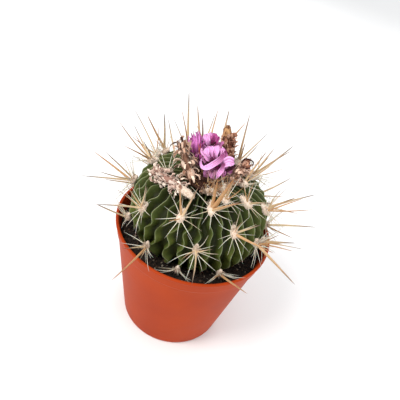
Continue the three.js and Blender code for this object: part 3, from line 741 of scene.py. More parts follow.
def drawn_spines(node, place):
    """Root, tip and kind of each spine that the solids have in a cluster."""
    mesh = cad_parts[node].data
    corners = np.array([corner.co for corner in mesh.vertices]) / MM
    cushion_reach, central_rise = 6.0, 0.6
    seat = place["point"] + place["out"] * 0.8
    far = np.linalg.norm(corners - seat, axis=1) > cushion_reach
    roots = {}
    for face in mesh.polygons:
        tips = [corner for corner in face.vertices if far[corner]]
        for tip in tips:
            key = tuple(np.round(corners[tip], 2))
            near = [corners[corner] for corner in face.vertices if not far[corner]]
            roots.setdefault(key, []).extend(near)
    spines = []
    for tip, near in roots.items():
        root = np.mean(near, axis=0)
        central = (root - seat) @ place["out"] > central_rise
        spines.append((root, np.array(tip), central))
    return spines


def bowed(root, tip, bow, steps):
    """A gently curved path from root to tip."""
    share = np.linspace(0, 1, steps)[:, None]
    return root + (tip - root) * share + bow * np.sin(np.pi * share) * (1 - 0.4 * share)


def add_central(shape, root, tip, out, broad, rng):
    """A long flat spine that bows a little."""
    way = tip - root
    length = float(np.linalg.norm(way))
    way = way / length
    side = unit(np.cross(way, out) + rng.normal(0, 0.25, 3))
    lifted = np.cross(side, way)
    steps = 14
    bow = lifted * rng.uniform(-0.05, 0.03) * length + side * rng.normal(0, 0.012) * length
    share = np.linspace(0, 1, steps)
    taper = (1 - share) ** 0.6 * (1 - 0.3 * np.exp(-(share / 0.05) ** 2))
    half = broad * (0.56 + 0.55 * float(smooth(length, 16, 32)) * rng.uniform(0.6, 1.0))
    path = bowed(root - way * 0.8, tip, bow, steps)
    kind = float(rng.uniform(0, 1))
    shape.add(strand(path, half * taper, 0.55 * half * taper, side, 8, shade=kind), 1)


def add_radial(shape, root, tip, out, half, rng):
    """A thin round spine that bows a little."""
    way = tip - root
    length = float(np.linalg.norm(way))
    side = unit(np.cross(way, out))
    bow = out * rng.uniform(-0.03, 0.08) * length + side * rng.normal(0, 0.025) * length
    steps = 9
    width = half * (1 - np.linspace(0, 1, steps)) ** 0.5
    kind = float(rng.uniform(0, 1))
    shape.add(strand(bowed(root, tip, bow, steps), width, width, side, 5, shade=kind), 2)


def add_cushion(shape, place, scale, rng):
    """A peaked pad, a lobe that climbs the crest above it, and fine standing fibres."""
    out, across, up = place["out"], place["across"], place["up"]
    fibres = 120
    seat = place["point"] + out * 0.6
    age = float(smooth(place["arc"], 30, 60))
    size = scale * (1.4 - 0.4 * age)
    axes = np.array([across * 1.8, up * 2.8, out * 1.9]) * size
    shape.add(lump(seat + up * 0.2, axes, rng, 0.16, 12, 9), shade=0.6 * age)
    lobe = np.array([across * 1.2, up * 2.0, out * 1.3]) * size
    shape.add(lump(seat + up * 2.6 * size - out * 0.4, lobe, rng, 0.2, 10, 7), shade=0.2 * age)
    for _ in range(fibres):
        turn, reach = rng.uniform(0, 2 * np.pi), math.sqrt(rng.uniform(0, 1))
        flat = across * 1.7 * math.cos(turn) * reach + up * (3.2 * math.sin(turn) * reach + 0.8)
        root = seat + flat * size + out * (1.5 * (1 - 0.75 * reach ** 2) - 0.3)
        aim = unit(out * 0.7 + flat * 0.35 + up * 0.2 + rng.normal(0, 0.35, 3))
        length = rng.uniform(1.0, 2.6)
        bend = rng.normal(0, 0.25, 3) * length
        path = [root, root + aim * length * 0.55 + bend * 0.3, root + aim * length + bend]
        shape.add(strand(path, 0.07, 0.07, across, 3, shade=0.5 * age))


BROADEST = 1                      # the areole whose long spines are the broadest
BARE = 6                          # the one with the least wool


def add_fillers(shape, place, turns, rng):
    """Finer spines in most gaps between the thin ones, whose turns are given."""
    out, across, up = place["out"], place["across"], place["up"]
    narrow, passed_over = 0.45, 0.12
    turns.sort()
    for first, second in zip(turns, turns[1:] + [turns[0] + 2 * np.pi] if turns else []):
        if second - first < narrow or rng.uniform(0, 1) < passed_over:
            continue
        turn = first + (second - first) * rng.uniform(0.38, 0.62)
        lift = math.radians(rng.uniform(18, 34))
        flat = across * math.cos(turn) + up * math.sin(turn)
        way = flat * math.cos(lift) + out * math.sin(lift)
        root = place["point"] + out * 1.0 + flat * 0.9
        add_radial(shape, root, root + way * rng.uniform(11, 17), out, 0.2, rng)


def build_cluster(number, place, finishes):
    """One areole: its cushion, and the spines where the solids have them."""
    name = f"spine_cluster_{number:02d}"
    rng = np.random.default_rng(100 + number)
    out, across, up = place["out"], place["across"], place["up"]
    shape = Shape()
    add_cushion(shape, place, 0.62 if number == BARE else 1.0, rng)
    turns = []
    for root, tip, central in drawn_spines(name, place):
        if central:
            add_central(shape, root, tip, out, 2.0 if number == BROADEST else 1.0, rng)
            if number == BROADEST:
                aside = rng.normal(0, 0.1, 3) * np.linalg.norm(tip - root)
                add_central(shape, root + rng.normal(0, 0.5, 3), tip + aside, out, 1.2, rng)
        else:
            add_radial(shape, root, tip, out, 0.26, rng)
            turns.append(math.atan2((tip - root) @ up, (tip - root) @ across))
    add_fillers(shape, place, turns, rng)
    shape.piece(f"areole_{number:02d}", finishes, "spines", [name])


def build_clusters():
    finishes = [wool_finish(), central_finish(), radial_finish()]
    for number, place in enumerate(areole_frames(), 1):
        build_cluster(number, place, finishes)


# --------------------------------------------------------------------- crown and flowers

def crown_height(x, y):
    """Height of the crest outline at a place near the stem's top."""
    away = math.hypot(x - STEM_CENTRE[0], y - STEM_CENTRE[1])
    return float(CREST_HEIGHT[np.argmax(CREST_RADIUS >= away)])


def frame_at(item):
    """Root, and the two level directions and the axis, of a thing that stands on the crown."""
    x, y = item["base"]
    axis = direction(item["heading"], item["rise"])
    level = unit(np.array([-axis[1], axis[0], 0.0]))
    return np.array([x, y, crown_height(x, y) + 1.2]), level, np.cross(axis, level), axis


def wool_spot(turn, reach, rise=0.0):
    """A point on the wool pad, a share of its radius out from its middle."""
    x = WOOL_CENTRE[0] + WOOL_RADIUS * reach * math.cos(turn)
    y = WOOL_CENTRE[1] + WOOL_RADIUS * reach * math.sin(turn)
    swell = WOOL_HEIGHT * (1 - reach ** 3) if reach < 1 else 0
    return np.array([x, y, crown_height(x, y) + 0.5 + swell + rise])


def wool_tone(spot, reach):
    """Dark on the left, paler on the right and towards the rim: 0 is pale, 1 is dark."""
    patch = noise.noise(Vector(spot) * 0.22)
    aside = (spot[:2] - WOOL_CENTRE) @ SIGHT[0][:2]
    dark = 0.4 + 0.7 * smooth(-aside, -2, 3)
    return float(np.clip(dark + 0.7 * patch - 0.3 * smooth(reach, 0.55, 1.0), 0, 1))


def leaning(turn, lean, stray, rng):
    """Upwards and out towards a turn, with a random stray."""
    way = np.array([math.cos(turn) * lean, math.sin(turn) * lean, 1.0])
    return unit(way + rng.normal(0, stray, 3))


def wool_pad():
    """A low swell over the crown's dimple, with a rough top."""
    rim = 1.3
    profile = [(0, 0), (0.5, 0), (0.9, 0.1), (1.0, 0.6)]
    profile += [(reach, rim + WOOL_HEIGHT * (1 - reach ** 3)) for reach in
                (0.97, 0.9, 0.8, 0.68, 0.54, 0.4, 0.25, 0.12)]
    pad, faces, _ = turned(profile + [(0, rim + WOOL_HEIGHT)], 60)
    for corner in pad:
        x, y = WOOL_CENTRE + corner[:2] * WOOL_RADIUS
        rough = 1.2 * noise.fractal(Vector((x, y, 0)) * 0.5, 1.0, 2.0, 3) * (corner[2] > 0.5)
        corner[:] = x, y, crown_height(x, y) + 0.4 + corner[2] * 0.72 + rough
    return pad, faces, {}


def add_matting(shape, rng):
    """Small lumps and short fibres all over the pad."""
    lumps, fibres = 150, 900
    for _ in range(lumps):
        turn, reach = rng.uniform(0, 2 * np.pi), math.sqrt(rng.uniform(0.02, 1))
        spot = wool_spot(turn, reach, 0.2)
        half = rng.uniform(0.5, 1.3)
        axes = np.eye(3) * [half, half * rng.uniform(0.6, 1), half * 0.8]
        shape.add(lump(spot, axes, rng, 0.3, 8, 6), shade=wool_tone(spot, reach))
    for _ in range(fibres):
        turn, reach = rng.uniform(0, 2 * np.pi), 1.04 * math.sqrt(rng.uniform(0, 1))
        spot = wool_spot(turn, reach)
        aim = (math.cos(turn) * 0.6 * reach, math.sin(turn) * 0.6 * reach, 1.0)
        add_fibre(shape, spot, aim, 3.2, rng, wool_tone(spot, reach) * rng.uniform(0.6, 1))


def add_young_areoles(shape, rng):
    """The youngest areoles crowd round the wool: pale tufts with short new spines."""
    count, first, step = 12, 260, 25.7
    lumps, fibres, spines = 4, 70, 5
    for k in range(count):
        turn = math.radians(first + step * k + rng.uniform(-8, 8))
        outwards = np.array([math.cos(turn) * 0.5, math.sin(turn) * 0.5, 1.0])
        seat = wool_spot(turn, rng.uniform(0.88, 1.06), 0.2)
        for _ in range(lumps):
            half = rng.uniform(0.7, 1.25)
            spread = rng.normal(0, 0.7, 3) * [1, 1, 0.5]
            shape.add(lump(seat + spread, np.eye(3) * half, rng, 0.3, 8, 6),
                      shade=float(rng.uniform(0, 0.2)))
        for _ in range(fibres):
            spread = rng.normal(0, 0.9, 3) * [1, 1, 0.5]
            add_fibre(shape, seat + spread + [0, 0, 0.5], outwards, 3.0, rng, 0.05)
        for _ in range(spines):
            aim = leaning(turn, 0.5, 0.4, rng)
            add_young_spine(shape, seat, aim, rng.uniform(6, 11), rng)


def add_front_row(shape, rng):
    """Flat tan spines before the flowers, and pale wool at their feet."""
    spines, lumps = 24, 70
    for _ in range(spines):
        turn, reach = math.radians(rng.uniform(255, 345)), rng.uniform(0.35, 0.95)
        aim = leaning(turn, 0.5, 0.25, rng)
        add_young_spine(shape, wool_spot(turn, reach, -0.5), aim, rng.uniform(5, 10), rng,
                        0.6, 0.5)
    for _ in range(lumps):
        turn, reach = math.radians(rng.uniform(270, 345)), rng.uniform(0.75, 1.08)
        half = rng.uniform(0.6, 1.3)
        shape.add(lump(wool_spot(turn, reach, 0.6), np.eye(3) * half, rng, 0.3, 8, 6), 2)


def add_strewn_spines(shape, rng):
    """Short spines all over the wool, browner on the left."""
    spines, brown_side = 46, math.radians(200)
    for _ in range(spines):
        turn, reach = rng.uniform(0, 2 * np.pi), rng.uniform(0.3, 0.95)
        aim = leaning(turn, 0.6, 0.3, rng)
        tan = 1.0 if math.cos(turn - brown_side) > 0 else 0.6
        add_young_spine(shape, wool_spot(turn, reach, -0.5), aim, rng.uniform(4, 9), rng,
                        0.26, tan)


def build_crown_wool():
    """The matted wool in the crown, and the young spines that stand in it."""
    rng = np.random.default_rng(7)
    shape = Shape()
    shape.add(wool_pad(), shade=0.85)
    add_matting(shape, rng)
    add_young_areoles(shape, rng)
    add_front_row(shape, rng)
    add_strewn_spines(shape, rng)
    finishes = [crown_wool_finish(), central_finish(), wool_finish()]
    shape.piece("matted_wool", finishes, "wool", ["crown_wool"])


def add_fibre(shape, root, aim, longest, rng, tone, finish=0):
    """A fine bent hair of wool."""
    aim = unit(np.asarray(aim) + rng.normal(0, 0.5, 3))
    length = rng.uniform(0.35, 1) * longest
    bend = rng.normal(0, 0.3, 3) * length
    path = [root, root + aim * length * 0.5 + bend * 0.3, root + aim * length + bend]
    shape.add(strand(path, 0.08, 0.08, (1, 0, 0.2), 3, shade=tone), finish)


def add_young_spine(shape, root, aim, length, rng, half=0.26, tan=0.65):
    """A short new spine in the crown; tan says how brown it is."""
    steps = 6
    path = bowed(root, root + aim * length, rng.normal(0, 0.4, 3), steps)
    width = half * (1 - np.linspace(0, 1, steps)) ** 0.6
    kind = float(np.clip(tan + rng.uniform(-0.35, 0.35), 0, 1))
    shape.add(strand(path, width, 0.18, (1, 0.3, 0), 5, shade=kind), 1)


def add_petal(shape, place, turn, look, finish, rng):
    """One petal: it leaves the tube at `lean` degrees off the axis and bends by `bend`."""
    root, level, other, axis = place
    rows, columns = 15, 9
    share = np.linspace(0, 1, rows)
    away = level * math.cos(turn) + other * math.sin(turn)
    beside = np.cross(axis, away)
    angle = np.radians(look["lean"] + look["bend"] * share ** look.get("late", 1.0))
    step = look["length"] / (rows - 1)
    steps = (axis * np.cos(angle)[:, None] + away * np.sin(angle)[:, None]) * step
    start = root + axis * look["low"] + away * look["near"]
    centre = start + np.cumsum(steps, axis=0) - steps[0]
    sway = rng.normal(0, 0.06) * look["length"] * share ** 2
    centre = centre + beside * sway[:, None]
    along = unit(np.gradient(centre, axis=0))
    twist = np.radians(look.get("twist", 0) + rng.normal(0, 9)) * share[:, None]
    side = np.cross(beside, along) * np.sin(twist) - beside * np.cos(twist)
    side = unit(side - along * (side * along).sum(1, keepdims=True))
    out = np.cross(side, along)
    swell = 0.28 + 0.72 * smooth(share, 0, 0.55)
    round_off = np.sqrt(np.clip(1 - np.clip((share - 0.6) / 0.4, 0, 1) ** look["blunt"], 0, 1))
    width = look["half"] * swell * round_off
    width[-1] = 0.05
    across = np.linspace(-1, 1, columns)
    phase = rng.uniform(0, 2 * np.pi)
    ruffle = np.sin(2 * np.pi * 1.6 * share[:, None] + phase + 1.3 * across[None, :])
    frill = look["frill"] * look["half"] * ruffle * across[None, :] ** 2 * smooth(
        share, 0.2, 0.8)[:, None]
    frill = frill + look.get("crumple", 0.0) * rng.normal(0, 1, frill.shape) * share[:, None]
    shape.add(leaf(centre, side, out, width, 0.3, look["cup"] * (1 - 0.5 * share), columns,
                   frill, shade=look["shade"]), finish)


def add_tube(shape, place, length, rng):
    """The flower's tube, clad in small overlapping scales."""
    root, level, other, axis = place
    sides = 20
    heights = np.array([-2, 0, 0.12 * length, 0.28 * length, 0.42 * length])
    radii = np.array([1.2, 1.9, 2.2, 2.3, 2.9])
    turns = 2 * np.pi * np.arange(sides) / sides
    rings = (root + axis * heights[:, None, None]
             + level * (radii[:, None, None] * np.cos(turns)[None, :, None])
             + other * (radii[:, None, None] * np.sin(turns)[None, :, None]))
    last = (len(radii) - 1) * sides
    faces = net(len(radii), sides) + [tuple(range(sides))[::-1],
                                      tuple(range(last, last + sides))]
    faces = [face[::-1] for face in faces]
    shape.add((rings.reshape(-1, 3), faces, {}), 1, along=0.1, edge=0.5, shade=0.8)
    for layer in range(4):
        for k in range(7):
            turn = 2 * np.pi * (k + 0.5 * layer + rng.uniform(-0.15, 0.15)) / 7
            add_petal(shape, place, turn, {
                "lean": 10, "bend": 14, "length": 0.26 * length, "low": length * 0.09 * layer,
                "near": 2.0, "half": 1.0, "blunt": 1.5, "frill": 0.1, "cup": 0.35,
                "shade": rng.uniform(0.2, 0.9)}, 1, rng)


def add_stamens(shape, place, length, count, rng):
    """Filaments with golden anthers in the flower's mouth."""
    root, level, other, axis = place
    for _ in range(count):
        turn, reach = rng.uniform(0, 2 * np.pi), rng.uniform(0.6, 2.2)
        away = level * math.cos(turn) + other * math.sin(turn)
        foot = root + axis * 0.36 * length + away * reach * 0.7
        head = root + axis * length * rng.uniform(0.5, 0.62) + away * reach * 1.2
        shape.add(strand(bowed(foot, head, away * 0.3, 5), 0.1, 0.1, level, 4), 2)
        shape.add(lump(head, np.eye(3) * 0.36, rng, 0.2, 6, 5), 3)


def flowing(points, rows):
    """A smooth curve through a few given points."""
    points = np.asarray(points, float)
    ends = np.vstack([2 * points[0] - points[1], points, 2 * points[-1] - points[-2]])
    spread = np.linspace(0, len(points) - 1, rows)
    first = np.minimum(spread.astype(int), len(points) - 2)
    share = (spread - first)[:, None]
    a, b, c, d = (ends[first + k] for k in range(4))
    return 0.5 * (2 * b + (c - a) * share + (2 * a - 5 * b + 4 * c - d) * share ** 2
                  + (3 * b - a - 3 * c + d) * share ** 3)


def lay_petal(shape, heart, petal, rng):
    """A petal laid along listed steps of [right, up, nearer, half width] from the flower's heart.
    """
    rows, columns = 24, 15
    course = flowing(petal["path"], rows)
    centre = heart + course[:, :3] @ SIGHT
    along = unit(np.gradient(centre, axis=0))
    facing = SIGHT[2] - along * (along @ SIGHT[2])[:, None]
    facing = unit(facing + 0.15 * SIGHT[1])
    first, last = petal.get("roll", (0, 0))
    roll = np.radians(np.linspace(first, last, rows))[:, None]
    side = np.cross(along, facing) * np.cos(roll) + facing * np.sin(roll)
    side = unit(side - along * (side * along).sum(1, keepdims=True))
    out = np.cross(side, along)
    share = np.linspace(0, 1, rows)
    width = np.maximum(course[:, 3], 0.1) * np.sqrt(np.clip(1 - share ** 14, 0, 1)) + 0.05
    across = np.linspace(-1, 1, columns)
    phase, waves = rng.uniform(0, 2 * np.pi), rng.uniform(1.5, 2.6)
    ruffle = np.sin(2 * np.pi * waves * share[:, None] + phase + 1.5 * across[None, :])
    frill = petal.get("frill", 0.25) * width[:, None] * ruffle * across[None, :] ** 2
    folds = petal.get("folds", 1.3)
    pleat = np.cos(2 * np.pi * folds * across[None, :] + rng.uniform(-1, 1))
    frill = frill + petal.get("pleat", 0.14) * width[:, None] * pleat
    frill = frill + rng.normal(0, 0.05, (rows, columns))
    notch = np.cumsum(rng.normal(0, 0.28, columns))
    slide = (notch - notch.mean() - 0.6 * across ** 2)[None, :] * share[:, None] ** 4
    shape.add(leaf(centre, side, out, width, 0.3, petal.get("cup", 0.3) * np.ones(rows), columns,
                   frill, slide * min(1, petal["path"][-1][3]), shade=petal["shade"]),
              petal.get("finish", 0))


def open_petals():
    """The front flower: crumpled broad petals, one of them rolled over towards the viewer."""
    # Petals whose shade passes 1 are dark sheets and strips of painted shadow in the gaps and folds
    # between the others.
    return [
        {"path": [(-1, -0.6, -3, 0.6), (-2.2, 4, -0.4, 2.0), (-3.4, 8, 0.8, 3.3),
                  (-3.6, 11.4, -0.4, 3.4)], "cup": 0.15, "pleat": 0.22, "folds": 1.6,
         "shade": 0.0},
        {"path": [(-1.4, -0.6, -1, 0.5), (-4.4, 3.8, 1.6, 0.8), (-7.6, 8, 1.6, 1.0),
                  (-8, 10.4, 0.6, 0.6)], "roll": (40, 60), "cup": 0.8, "shade": 0.2},
        {"path": [(0, 0, -2, 0.6), (0, 5, 1, 1.5), (0.6, 9, 1.6, 2.1), (1, 11.4, 0, 1.7)],
         "roll": (0, 25), "cup": 0.5, "pleat": 0.2, "shade": 0.05},
        {"path": [(1, 1, -3, 0.7), (2.6, 5, 0, 1.9), (3.6, 8, 0.8, 2.3), (4.4, 10.2, -1, 1.5)],
         "roll": (10, 35), "cup": 0.45, "shade": 0.1},
        {"path": [(1.5, 1, -3, 0.8), (5, 6, -2, 1.5), (6.2, 10, -3, 0.8)], "shade": 0.75},
        {"path": [(4.6, 8.4, 1.5, 0.6), (4.6, 4.4, 2.6, 1.0), (3.9, 0, 2.8, 0.7)],
         "roll": (35, -30), "cup": 0.7, "shade": 0.4},
        {"path": [(6.4, 8.4, 0, 0.6), (6.6, 4, 1.6, 1.0), (5.6, -1, 2, 0.7)],
         "roll": (-40, 30), "cup": 0.7, "shade": 0.6},
        {"path": [(2, -2, -2, 0.8), (5.4, 0.4, 2.6, 2.2), (8.2, 1.8, 2.8, 3.0),
                  (11.6, 1.0, 0.8, 2.0)], "roll": (0, -25), "cup": 0.5, "pleat": 0.1,
         "shade": 0.0},
        {"path": [(2, -3, -2, 1), (5, -4.6, 1, 1.2), (8.4, -3.2, 1, 1.6), (12.8, -0.4, -1, 0.8)],
         "roll": (20, 30), "shade": ALL_SHADOW},
        {"path": [(4.8, 0.6, 3, 0.8), (3.6, -3.4, 3.2, 1.5), (1.8, -6.6, 3, 1.2),
                  (0.6, -9.4, 2, 0.4)], "roll": (30, -30), "cup": 0.7, "shade": 0.15},
        {"path": [(1.8, -1, 1, 1), (1.2, -4, 1.4, 1.4), (-0.6, -6.8, 0.6, 0.7)], "shade": 1.0},
        {"path": [(-2, -2, 1, 0.7), (-4.2, -6, 1, 1.0), (-6, -8.6, -0.4, 0.4)], "shade": 0.85},
        {"path": [(-5, -1, 1, 0.6), (-6.2, -5.4, 0.6, 0.8), (-6.6, -9, -0.4, 0.3)],
         "roll": (30, -40), "cup": 0.6, "shade": 0.5},
        {"path": [(0, -2, 1, 0.6), (-1.6, -6.6, 1.2, 0.8), (-0.6, -10, 0, 0.3)], "cup": 0.6,
         "shade": 0.3},
        {"path": [(-7.4, -1.8, 1.2, 1.2), (-4, 0.6, 1.4, 2.0), (-0.6, 4.4, 0.4, 1.4)],
         "cup": -0.5, "shade": ALL_SHADOW},
        {"path": [(-5.5, -0.8, 2.4, 0.9), (-1.5, 1.4, 3, 1.3), (2.6, 3.4, 2.4, 0.8)],
         "shade": ALL_SHADOW},
        {"path": [(-0.4, 1, 1.6, 0.4), (-0.9, 5, 2.3, 0.3), (-1.1, 8.6, 2.2, 0.1)],
         "shade": PART_SHADOW},
        {"path": [(0.8, 1, 1.8, 0.4), (1.9, 4.6, 2.4, 0.35), (2.5, 7.8, 2.2, 0.1)],
         "shade": ALL_SHADOW},
        {"path": [(-1.2, 1.5, 1, 0.3), (-3, 5, 2, 0.2), (-3.8, 7.6, 1.9, 0.1)],
         "shade": PART_SHADOW},
        {"path": [(-3, 2.2, 1.6, 0.6), (-5, 3.2, 2.6, 0.9), (-6.8, 6, 2, 0.5)],
         "roll": (0, 40), "cup": 0.6, "shade": 0.3},
        {"path": [(5, 6.4, 2.4, 1.0), (3, 3, 4.4, 1.7), (-0.8, 0, 5.4, 1.8),
                  (-5, -2.4, 5.2, 1.6), (-8, -2, 4.4, 1.2), (-9, 1.2, 3.2, 0.9),
                  (-7.8, 4.4, 2, 0.4)], "roll": (20, -50), "cup": 0.45, "frill": 0.2,
         "pleat": 0.1, "shade": 0.0},
    ]


def start_flower(name, stamens):
    """A flower's shape with its tube and stamens, its place and its seeded draws."""
    item = FLOWERS[name]
    place = frame_at(item)
    rng = np.random.default_rng(20 + int(name[-1]))
    shape = Shape()
    add_tube(shape, place, item["length"], rng)
    add_stamens(shape, place, item["length"], stamens, rng)
    return shape, place, rng


def build_open_flower(finishes):
    """The front flower: listed petals, with narrow drooping ones under them."""
    shape, place, rng = start_flower("flower_1", 14)
    root, _, _, axis = place
    heart = root + axis * 11.0 + SIGHT[1] * 1.2 - SIGHT[0] * 0.3
    for petal in open_petals():
        lay_petal(shape, heart, petal, rng)
    for k in range(10):
        over = -6 + 1.25 * k
        drop = rng.uniform(6.5, 9.5)
        lay_petal(shape, heart, {
            "path": [(0.5 * over, -2.4, 0.4, 0.6), (over, -0.62 * drop, 1.8, 0.9),
                     (1.05 * over + rng.normal(0, 0.6), -drop, 0.6, 0.3)],
            "roll": tuple(rng.normal(0, 40, 2)), "cup": 0.8, "frill": 0.4, "finish": min(k % 3, 1),
            "shade": float(rng.uniform(0, 0.7))}, rng)
    add_back_petals(shape, place, (40, 60, 13), rng)
    shape.piece("flower_1_petals", finishes, "petals", ["flower_1"])


def add_back_petals(shape, place, look, rng):
    """The petals on the far side, which lean away from the viewer."""
    lean, bend, length = look
    _, level, other, _ = place
    for k in range(6):
        turn = math.atan2(other @ SIGHT[2], level @ SIGHT[2]) + np.pi + 0.5 * (k - 2.5)
        add_petal(shape, place, turn, {
            "lean": lean + rng.normal(0, 6), "bend": bend + rng.normal(0, 15),
            "length": length * rng.uniform(0.8, 1), "low": 5.6, "near": 1.6,
            "half": rng.uniform(1.8, 2.6), "blunt": 2.6, "frill": 0.4, "cup": 0.4,
            "crumple": 0.14, "shade": rng.uniform(0.2, 0.8), "twist": rng.normal(0, 25)}, 0, rng)


def build_closing_flower(finishes):
    """The left flower: a crumpled sheaf of narrow petals that fans out to the left and up."""
    shape, place, rng = start_flower("flower_2", 0)
    root, _, _, axis = place
    heart = root + axis * 11.5 + SIGHT[0] * 0.8
    # Some strips of the sheaf are darkened part way to painted shadow.
    for k in range(52):
        over = rng.uniform(-6.4, 0.8)
        foot = (0.5 * over - 0.4 + rng.normal(0, 0.4), -3.4 + 0.25 * over + rng.normal(0, 0.8))
        tip = (over + rng.normal(0, 0.7), 10.4 + 0.75 * over + rng.normal(0, 1.3))
        middle = (0.9 * over + rng.normal(0, 0.6), 0.45 * (foot[1] + tip[1]))
        near = rng.uniform(-3, 3.4)
        half = rng.uniform(0.35, 0.75)
        lay_petal(shape, heart, {
            "path": [(*foot, -2 + 0.6 * near, 0.5), (*middle, near, half),
                     (*tip, near * 0.6 - 1, 0.16)],
            "roll": tuple(rng.normal(0, 45, 2)), "cup": 0.9, "frill": 0.5,
            "shade": float(rng.choice([0.0, 0.2, 0.9, PART_SHADOW]))}, rng)
    # Greyish petal feet and nearly black ones of painted shadow under the sheaf, and red filaments
    # before it.
    for k in range(12):
        over = -4 + 0.7 * k
        drop = rng.uniform(6, 9)
        lay_petal(shape, heart, {
            "path": [(0.7 * over, -1.8, 0.4, 0.5), (over, -0.6 * drop, 1.2 + (k % 2), 0.8),
                     (1.1 * over, -drop, 0.8, 0.4)],
            "roll": tuple(rng.normal(0, 40, 2)), "cup": 0.7, "frill": 0.4,
            "finish": (0, 1, 0, 0)[k % 4], "shade": (ALL_SHADOW, 0.3, ALL_SHADOW, 0.7)[k % 4]}, rng)
    for k in range(3):
        foot = heart + np.array([0.3 + 0.5 * k, -3.6, 3.2]) @ SIGHT
        head = heart + np.array([-0.5 + 0.7 * k, 1.5 + rng.uniform(0, 2.5), 4]) @ SIGHT
        shape.add(strand(bowed(foot, head, SIGHT[2] * 0.5, 6), 0.15, 0.15, SIGHT[0], 5), 2)
    add_back_petals(shape, place, (18, 20, 11), rng)
    shape.piece("flower_2_petals", finishes, "petals", ["flower_2"])


def build_half_open_flower(finishes):
    """The rear flower: upright fans, pale on the left and deep magenta on the right."""
    shape, place, rng = start_flower("flower_3", 8)
    root, _, _, axis = place
    heart = root + axis * 12 - SIGHT[0] * 2.2
    # The last two are dark strips of painted shadow: one wholly at the fans' foot, one partly in a
    # fold.
    for path, roll, tone in (
            ([(0, -2, -2, 0.6), (-1.4, 2.4, 0.6, 1.8), (-2.4, 7, 0, 2.6)], (0, 15), 0.0),
            ([(0.6, -1, -2, 0.6), (0.4, 3, -0.6, 1.5), (0.2, 8, -1, 1.9)], (0, -30), 0.1),
            ([(-1, -2, -2, 0.8), (-3.8, 2, 0, 1.4), (-5.6, 6, -0.6, 0.8)], (20, 30), 0.5),
            ([(1, -1, -2, 0.8), (2.4, 3.4, 0.4, 2.2), (4.4, 7, -0.6, 1.6)], (-15, 15), 0.9),
            ([(1.2, -1.6, -2, 0.8), (3.8, 2.2, 0.4, 1.5), (6.2, 5.4, -0.6, 0.9)], (10, -20), 1.0),
            ([(1.4, 0, -3, 0.8), (2, 4, -3, 2), (2.4, 8, -4, 1.6)], (0, 10), 0.8),
            ([(-2.6, -2, 0.6, 0.9), (0.4, -1.6, 2.4, 1.1), (3.2, 0, 1.6, 0.7)], (0, 30), 0.2),
            ([(-1, -3, 0, 0.8), (-3, -2.4, 2, 1.3), (-5, 0.4, 1.4, 0.7)], (0, 30), 0.3),
            ([(-1, -2, 2.6, 0.6), (1.5, -0.4, 3.2, 0.8), (4, 1.6, 2.6, 0.3)], (0, 0), ALL_SHADOW),
            ([(1.4, 1, 1.4, 0.5), (2.2, 3.6, 1.8, 0.4), (2.8, 6, 1, 0.2)], (0, 0), PART_SHADOW)):
        lay_petal(shape, heart, {"path": path, "roll": roll, "cup": 0.4, "frill": 0.3,
                                 "pleat": 0.2, "folds": 1.6, "shade": tone}, rng)
    add_back_petals(shape, place, (24, 30, 12), rng)
    shape.piece("flower_3_petals", finishes, "petals", ["flower_3"])


def build_flowers():
    """The three flowers share their small parts; the left one has deeper petals."""
    filament = plain_finish("filaments", shade(206, 116, 80), shade(176, 60, 66), 400, 0.5)
    anther = plain_finish("anthers", shade(214, 176, 84), shade(180, 130, 60), 900, 0.8)
    # The last colour of each petal finish is the painted shadow of dark gaps between petals.
    scales = petal_finish("flower scales", shade(230, 172, 198), shade(190, 116, 142),
                          shade(116, 50, 72), shade(44, 16, 22))
    bright = petal_finish("open petals", shade(246, 184, 236), shade(172, 66, 134),
                          shade(128, 26, 84), shade(58, 6, 30))
    deep = petal_finish("closing petals", shade(222, 134, 204), shade(146, 42, 114),
                        shade(100, 14, 64), shade(50, 5, 26))
    build_open_flower([bright, scales, filament, anther])
    build_closing_flower([deep, scales, filament, anther])
    build_half_open_flower([bright, scales, filament, anther])


def add_mouth(shape, centre, radius, rng):
    """A withered flower's open end, in the second finish: curled rims round pale lumps at its
    heart.
    """
    points, lumps = 20, 9
    for layer, tone in enumerate((1.0, 0.8, 0.4, 0.65)):
        turns = np.radians(rng.uniform(0, 360) + np.linspace(0, 320, points))
        reach = radius * (1.05 - 0.2 * layer) * (1 + rng.normal(0, 0.06, points))
        height = 2.6 - 0.8 * layer + rng.normal(0, 0.25, points)
        path = centre + np.stack([reach * np.cos(turns), 0.85 * reach * np.sin(turns),
                                  height], -1) @ SIGHT
        shape.add(strand(path, 1.0, 0.4, SIGHT[2], 6, shade=tone), 1, along=0.6)
    for k in range(lumps):
        turn = 0.7 * k
        foot = centre + np.array([0.9 * math.cos(turn), 0.9 * math.sin(turn), 1.9]) @ SIGHT
        shape.add(lump(foot, np.eye(3) * 0.7, rng, 0.35, 8, 6), 1, along=0.6,
                  shade=float(rng.uniform(0, 0.35)))


def add_dry_scales(shape, place, size, look, rng):
    """Curled papery scales that clothe the core; trim shortens those on its upper side."""
    root, level, other, axis = place
    length, half = size
    lean, curl = look.get("lean", (10, 80)), look.get("curl", (60, 170))
    for _ in range(look["scales"]):
        tall = rng.uniform(look["from"], look.get("to", 0.92))
        near = half * look.get("girth", 0.62) * math.sin(math.pi * (0.14 + 0.72 * tall))
        turn = rng.uniform(0, 2 * np.pi)
        upwards = (level * math.cos(turn) + other * math.sin(turn)) @ SIGHT[1]
        trimmed = 1 - look.get("trim", 0) * max(0, upwards)
        tone = rng.uniform(0, 1) ** look["paleness"] + look.get("darker", 0) * (tall - 0.5)
        add_petal(shape, (root + axis * tall * length, level, other, axis), turn, {
            "lean": rng.uniform(*lean), "bend": rng.choice([-1, 1]) * rng.uniform(*curl),
            "length": rng.uniform(0.6, 1.15) * look["long"] * trimmed, "low": 0.0,
            "near": near, "half": rng.uniform(0.6, 1.4) * look["broad"], "blunt": 3,
            "frill": 0.35, "crumple": 0.12, "cup": rng.normal(0.3, 0.4),
            "twist": rng.normal(0, 40), "shade": float(np.clip(tone, 0, 1))}, 0, rng)


